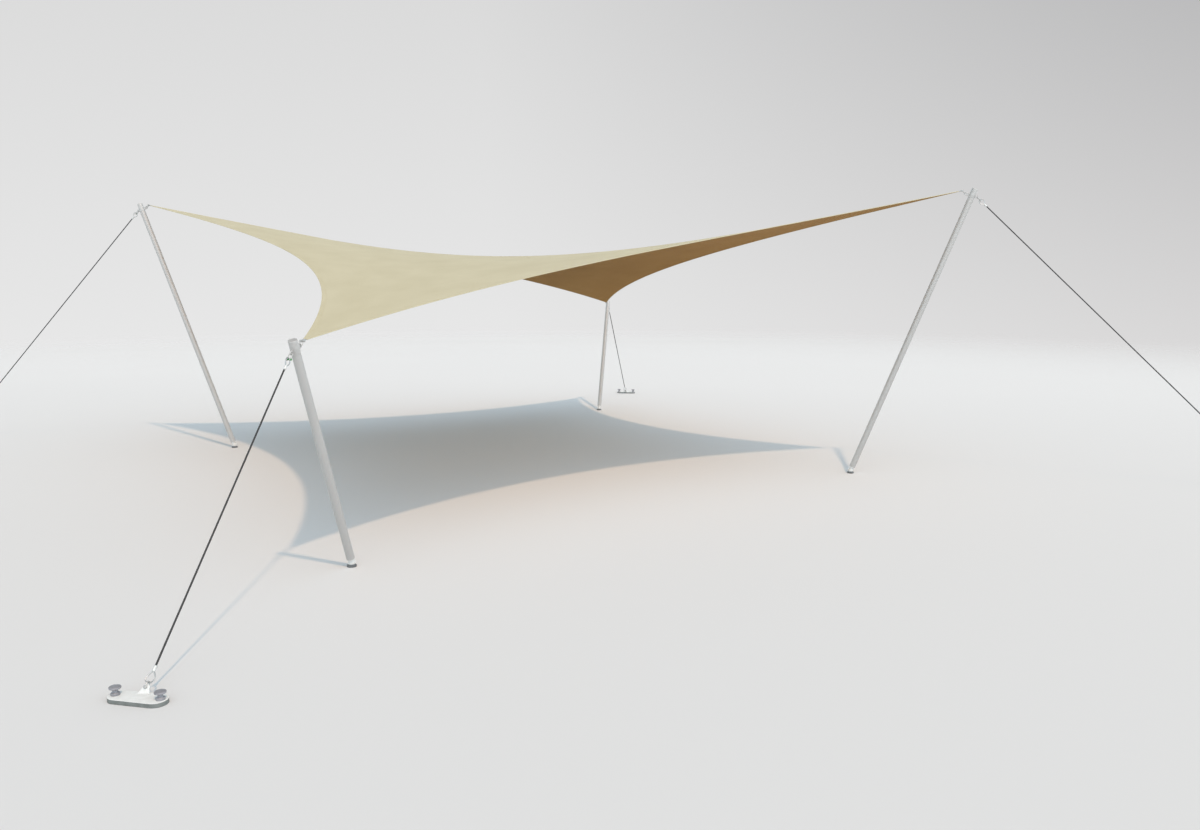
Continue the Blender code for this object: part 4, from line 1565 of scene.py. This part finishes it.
def floor():
    """A plain pale floor that melts into the backdrop at its far edge."""
    shape = bmesh.new()
    bmesh.ops.create_circle(shape, cap_ends=True, segments=128, radius=FLOOR_RADIUS)
    mesh = bpy.data.meshes.new("floor")
    shape.to_mesh(mesh)
    shape.free()
    ground = bpy.data.objects.new("floor", mesh)
    bpy.context.scene.collection.objects.link(ground)
    material, tree, shader = base_finish("matt_floor", 0.9)
    shader.inputs["Specular IOR Level"].default_value = 0.1
    place = add(tree, "ShaderNodeTexCoord").outputs["Object"]
    axes = add(tree, "ShaderNodeSeparateXYZ", links={"Vector": place})
    # The floor is a little brighter far away than in front.
    far = add(
        tree,
        "ShaderNodeMapRange",
        values={"From Min": -12.0, "From Max": 12.0},
        links={"Value": axes.outputs["Y"]},
    )
    tint = add(
        tree,
        "ShaderNodeMixRGB",
        values={"Color1": linear("#DBDBDB"), "Color2": linear("#E4E4E4")},
        links={"Fac": far.outputs["Result"]},
    )
    tree.links.new(tint.outputs["Color"], shader.inputs["Base Color"])
    reach = add(tree, "ShaderNodeVectorMath", {"operation": "LENGTH"}, links={0: place})
    fade = add(
        tree,
        "ShaderNodeMapRange",
        {"interpolation_type": "SMOOTHSTEP"},
        {"From Min": FLOOR_RADIUS - FLOOR_FADE, "From Max": FLOOR_RADIUS},
        {"Value": reach.outputs["Value"]},
    )
    clear = add(tree, "ShaderNodeBsdfTransparent")
    mix = add(
        tree,
        "ShaderNodeMixShader",
        links={0: fade.outputs["Result"], 1: shader.outputs["BSDF"], 2: clear.outputs["BSDF"]},
    )
    tree.links.new(mix.outputs["Shader"], tree.nodes["Material Output"].inputs["Surface"])
    mesh.materials.append(material)
    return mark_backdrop(ground)


def studio():
    """Soft bluish light from all sides behind a plain backdrop, and a sun low on the camera's side."""
    scene = bpy.context.scene
    scene.view_settings.view_transform = "Standard"
    world = bpy.data.worlds.new("studio")
    scene.world = world
    world.use_nodes = True
    tree = world.node_tree
    tree.nodes.clear()
    way = add(tree, "ShaderNodeTexCoord").outputs["Generated"]
    axes = add(tree, "ShaderNodeSeparateXYZ", links={"Vector": way})
    # The backdrop darkens towards the right and the top.
    sideways = add(
        tree,
        "ShaderNodeMapRange",
        values={"From Min": -0.32, "From Max": 0.33},
        links={"Value": axes.outputs["X"]},
    )
    upwards = add(
        tree,
        "ShaderNodeMapRange",
        values={"From Min": -0.055, "From Max": 0.257},
        links={"Value": axes.outputs["Z"]},
    )
    left = add(
        tree,
        "ShaderNodeMixRGB",
        values={"Color1": linear("#E7E7E7"), "Color2": linear("#DBDBDB")},
        links={"Fac": upwards.outputs["Result"]},
    )
    right = add(
        tree,
        "ShaderNodeMixRGB",
        values={"Color1": linear("#D9D8D8"), "Color2": linear("#B8B8B9")},
        links={"Fac": upwards.outputs["Result"]},
    )
    backdrop = add(
        tree,
        "ShaderNodeMixRGB",
        links={"Fac": sideways.outputs["Result"], "Color1": left.outputs[0], "Color2": right.outputs[0]},
    )
    seen = add(tree, "ShaderNodeBackground", links={"Color": backdrop.outputs["Color"]})
    # The light itself: bluish and strongest low down all round, with a soft glow about the sun
    height = add(tree, "ShaderNodeMath", {"operation": "SUBTRACT"}, {0: 1.0}, {1: axes.outputs["Z"]})
    low = add(tree, "ShaderNodeMath", {"operation": "POWER", "use_clamp": True}, {1: 2.0}, {0: height.outputs[0]})
    to_sun = add(
        tree,
        "ShaderNodeVectorMath",
        {"operation": "DOT_PRODUCT"},
        {1: SUN_WAY.normalized()},
        {0: way},
    )
    near_sun = add(
        tree,
        "ShaderNodeMath",
        {"operation": "MAXIMUM"},
        {1: 0.0},
        {0: to_sun.outputs["Value"]},
    )
    glow = add(tree, "ShaderNodeMath", {"operation": "POWER"}, {1: 4.0}, {0: near_sun.outputs[0]})
    shares = [
        add(tree, "ShaderNodeBackground", values={"Color": colour}, links={"Strength": share.outputs[0]})
        for colour, share in ((SKY_COLOUR, low), (GLOW_COLOUR, glow))
    ]
    light = add(
        tree,
        "ShaderNodeAddShader",
        links={0: shares[0].outputs["Background"], 1: shares[1].outputs["Background"]},
    )
    # From below the horizon comes what a lit floor would send back.
    above = add(tree, "ShaderNodeMath", {"operation": "GREATER_THAN"}, {1: 0.0}, {0: axes.outputs["Z"]})
    ground = add(tree, "ShaderNodeBackground", values={"Color": GROUND_COLOUR})
    around = add(
        tree,
        "ShaderNodeMixShader",
        links={0: above.outputs[0], 1: ground.outputs["Background"], 2: light.outputs["Shader"]},
    )
    rays = add(tree, "ShaderNodeLightPath")
    mix = add(
        tree,
        "ShaderNodeMixShader",
        links={
            0: rays.outputs["Is Camera Ray"],
            1: around.outputs["Shader"],
            2: seen.outputs["Background"],
        },
    )
    add(tree, "ShaderNodeOutputWorld", links={"Surface": mix.outputs["Shader"]})

    lamp = bpy.data.lights.new("sun", "SUN")
    lamp.energy = 1.25
    lamp.angle = math.radians(2.0)
    lamp.color = (1.0, 0.69, 0.46)
    sun = bpy.data.objects.new("sun", lamp)
    scene.collection.objects.link(sun)
    sun.rotation_euler = SUN_WAY.to_track_quat("Z", "Y").to_euler()


def photo_camera():
    """The photograph's view: 1200 by 830 pixels, from head height and a half, in front of the tent."""
    lens = bpy.data.cameras.new("camera")
    lens.lens = 28.8
    lens.sensor_width = 36.0
    lens.clip_end = 500.0
    camera = bpy.data.objects.new("camera", lens)
    bpy.context.scene.collection.objects.link(camera)
    camera.location = (4.746, -15.531, 3.10)
    camera.rotation_euler = (math.radians(81.8), 0.0, math.radians(12.22))
    bpy.context.scene.camera = camera


floor()
studio()
photo_camera()
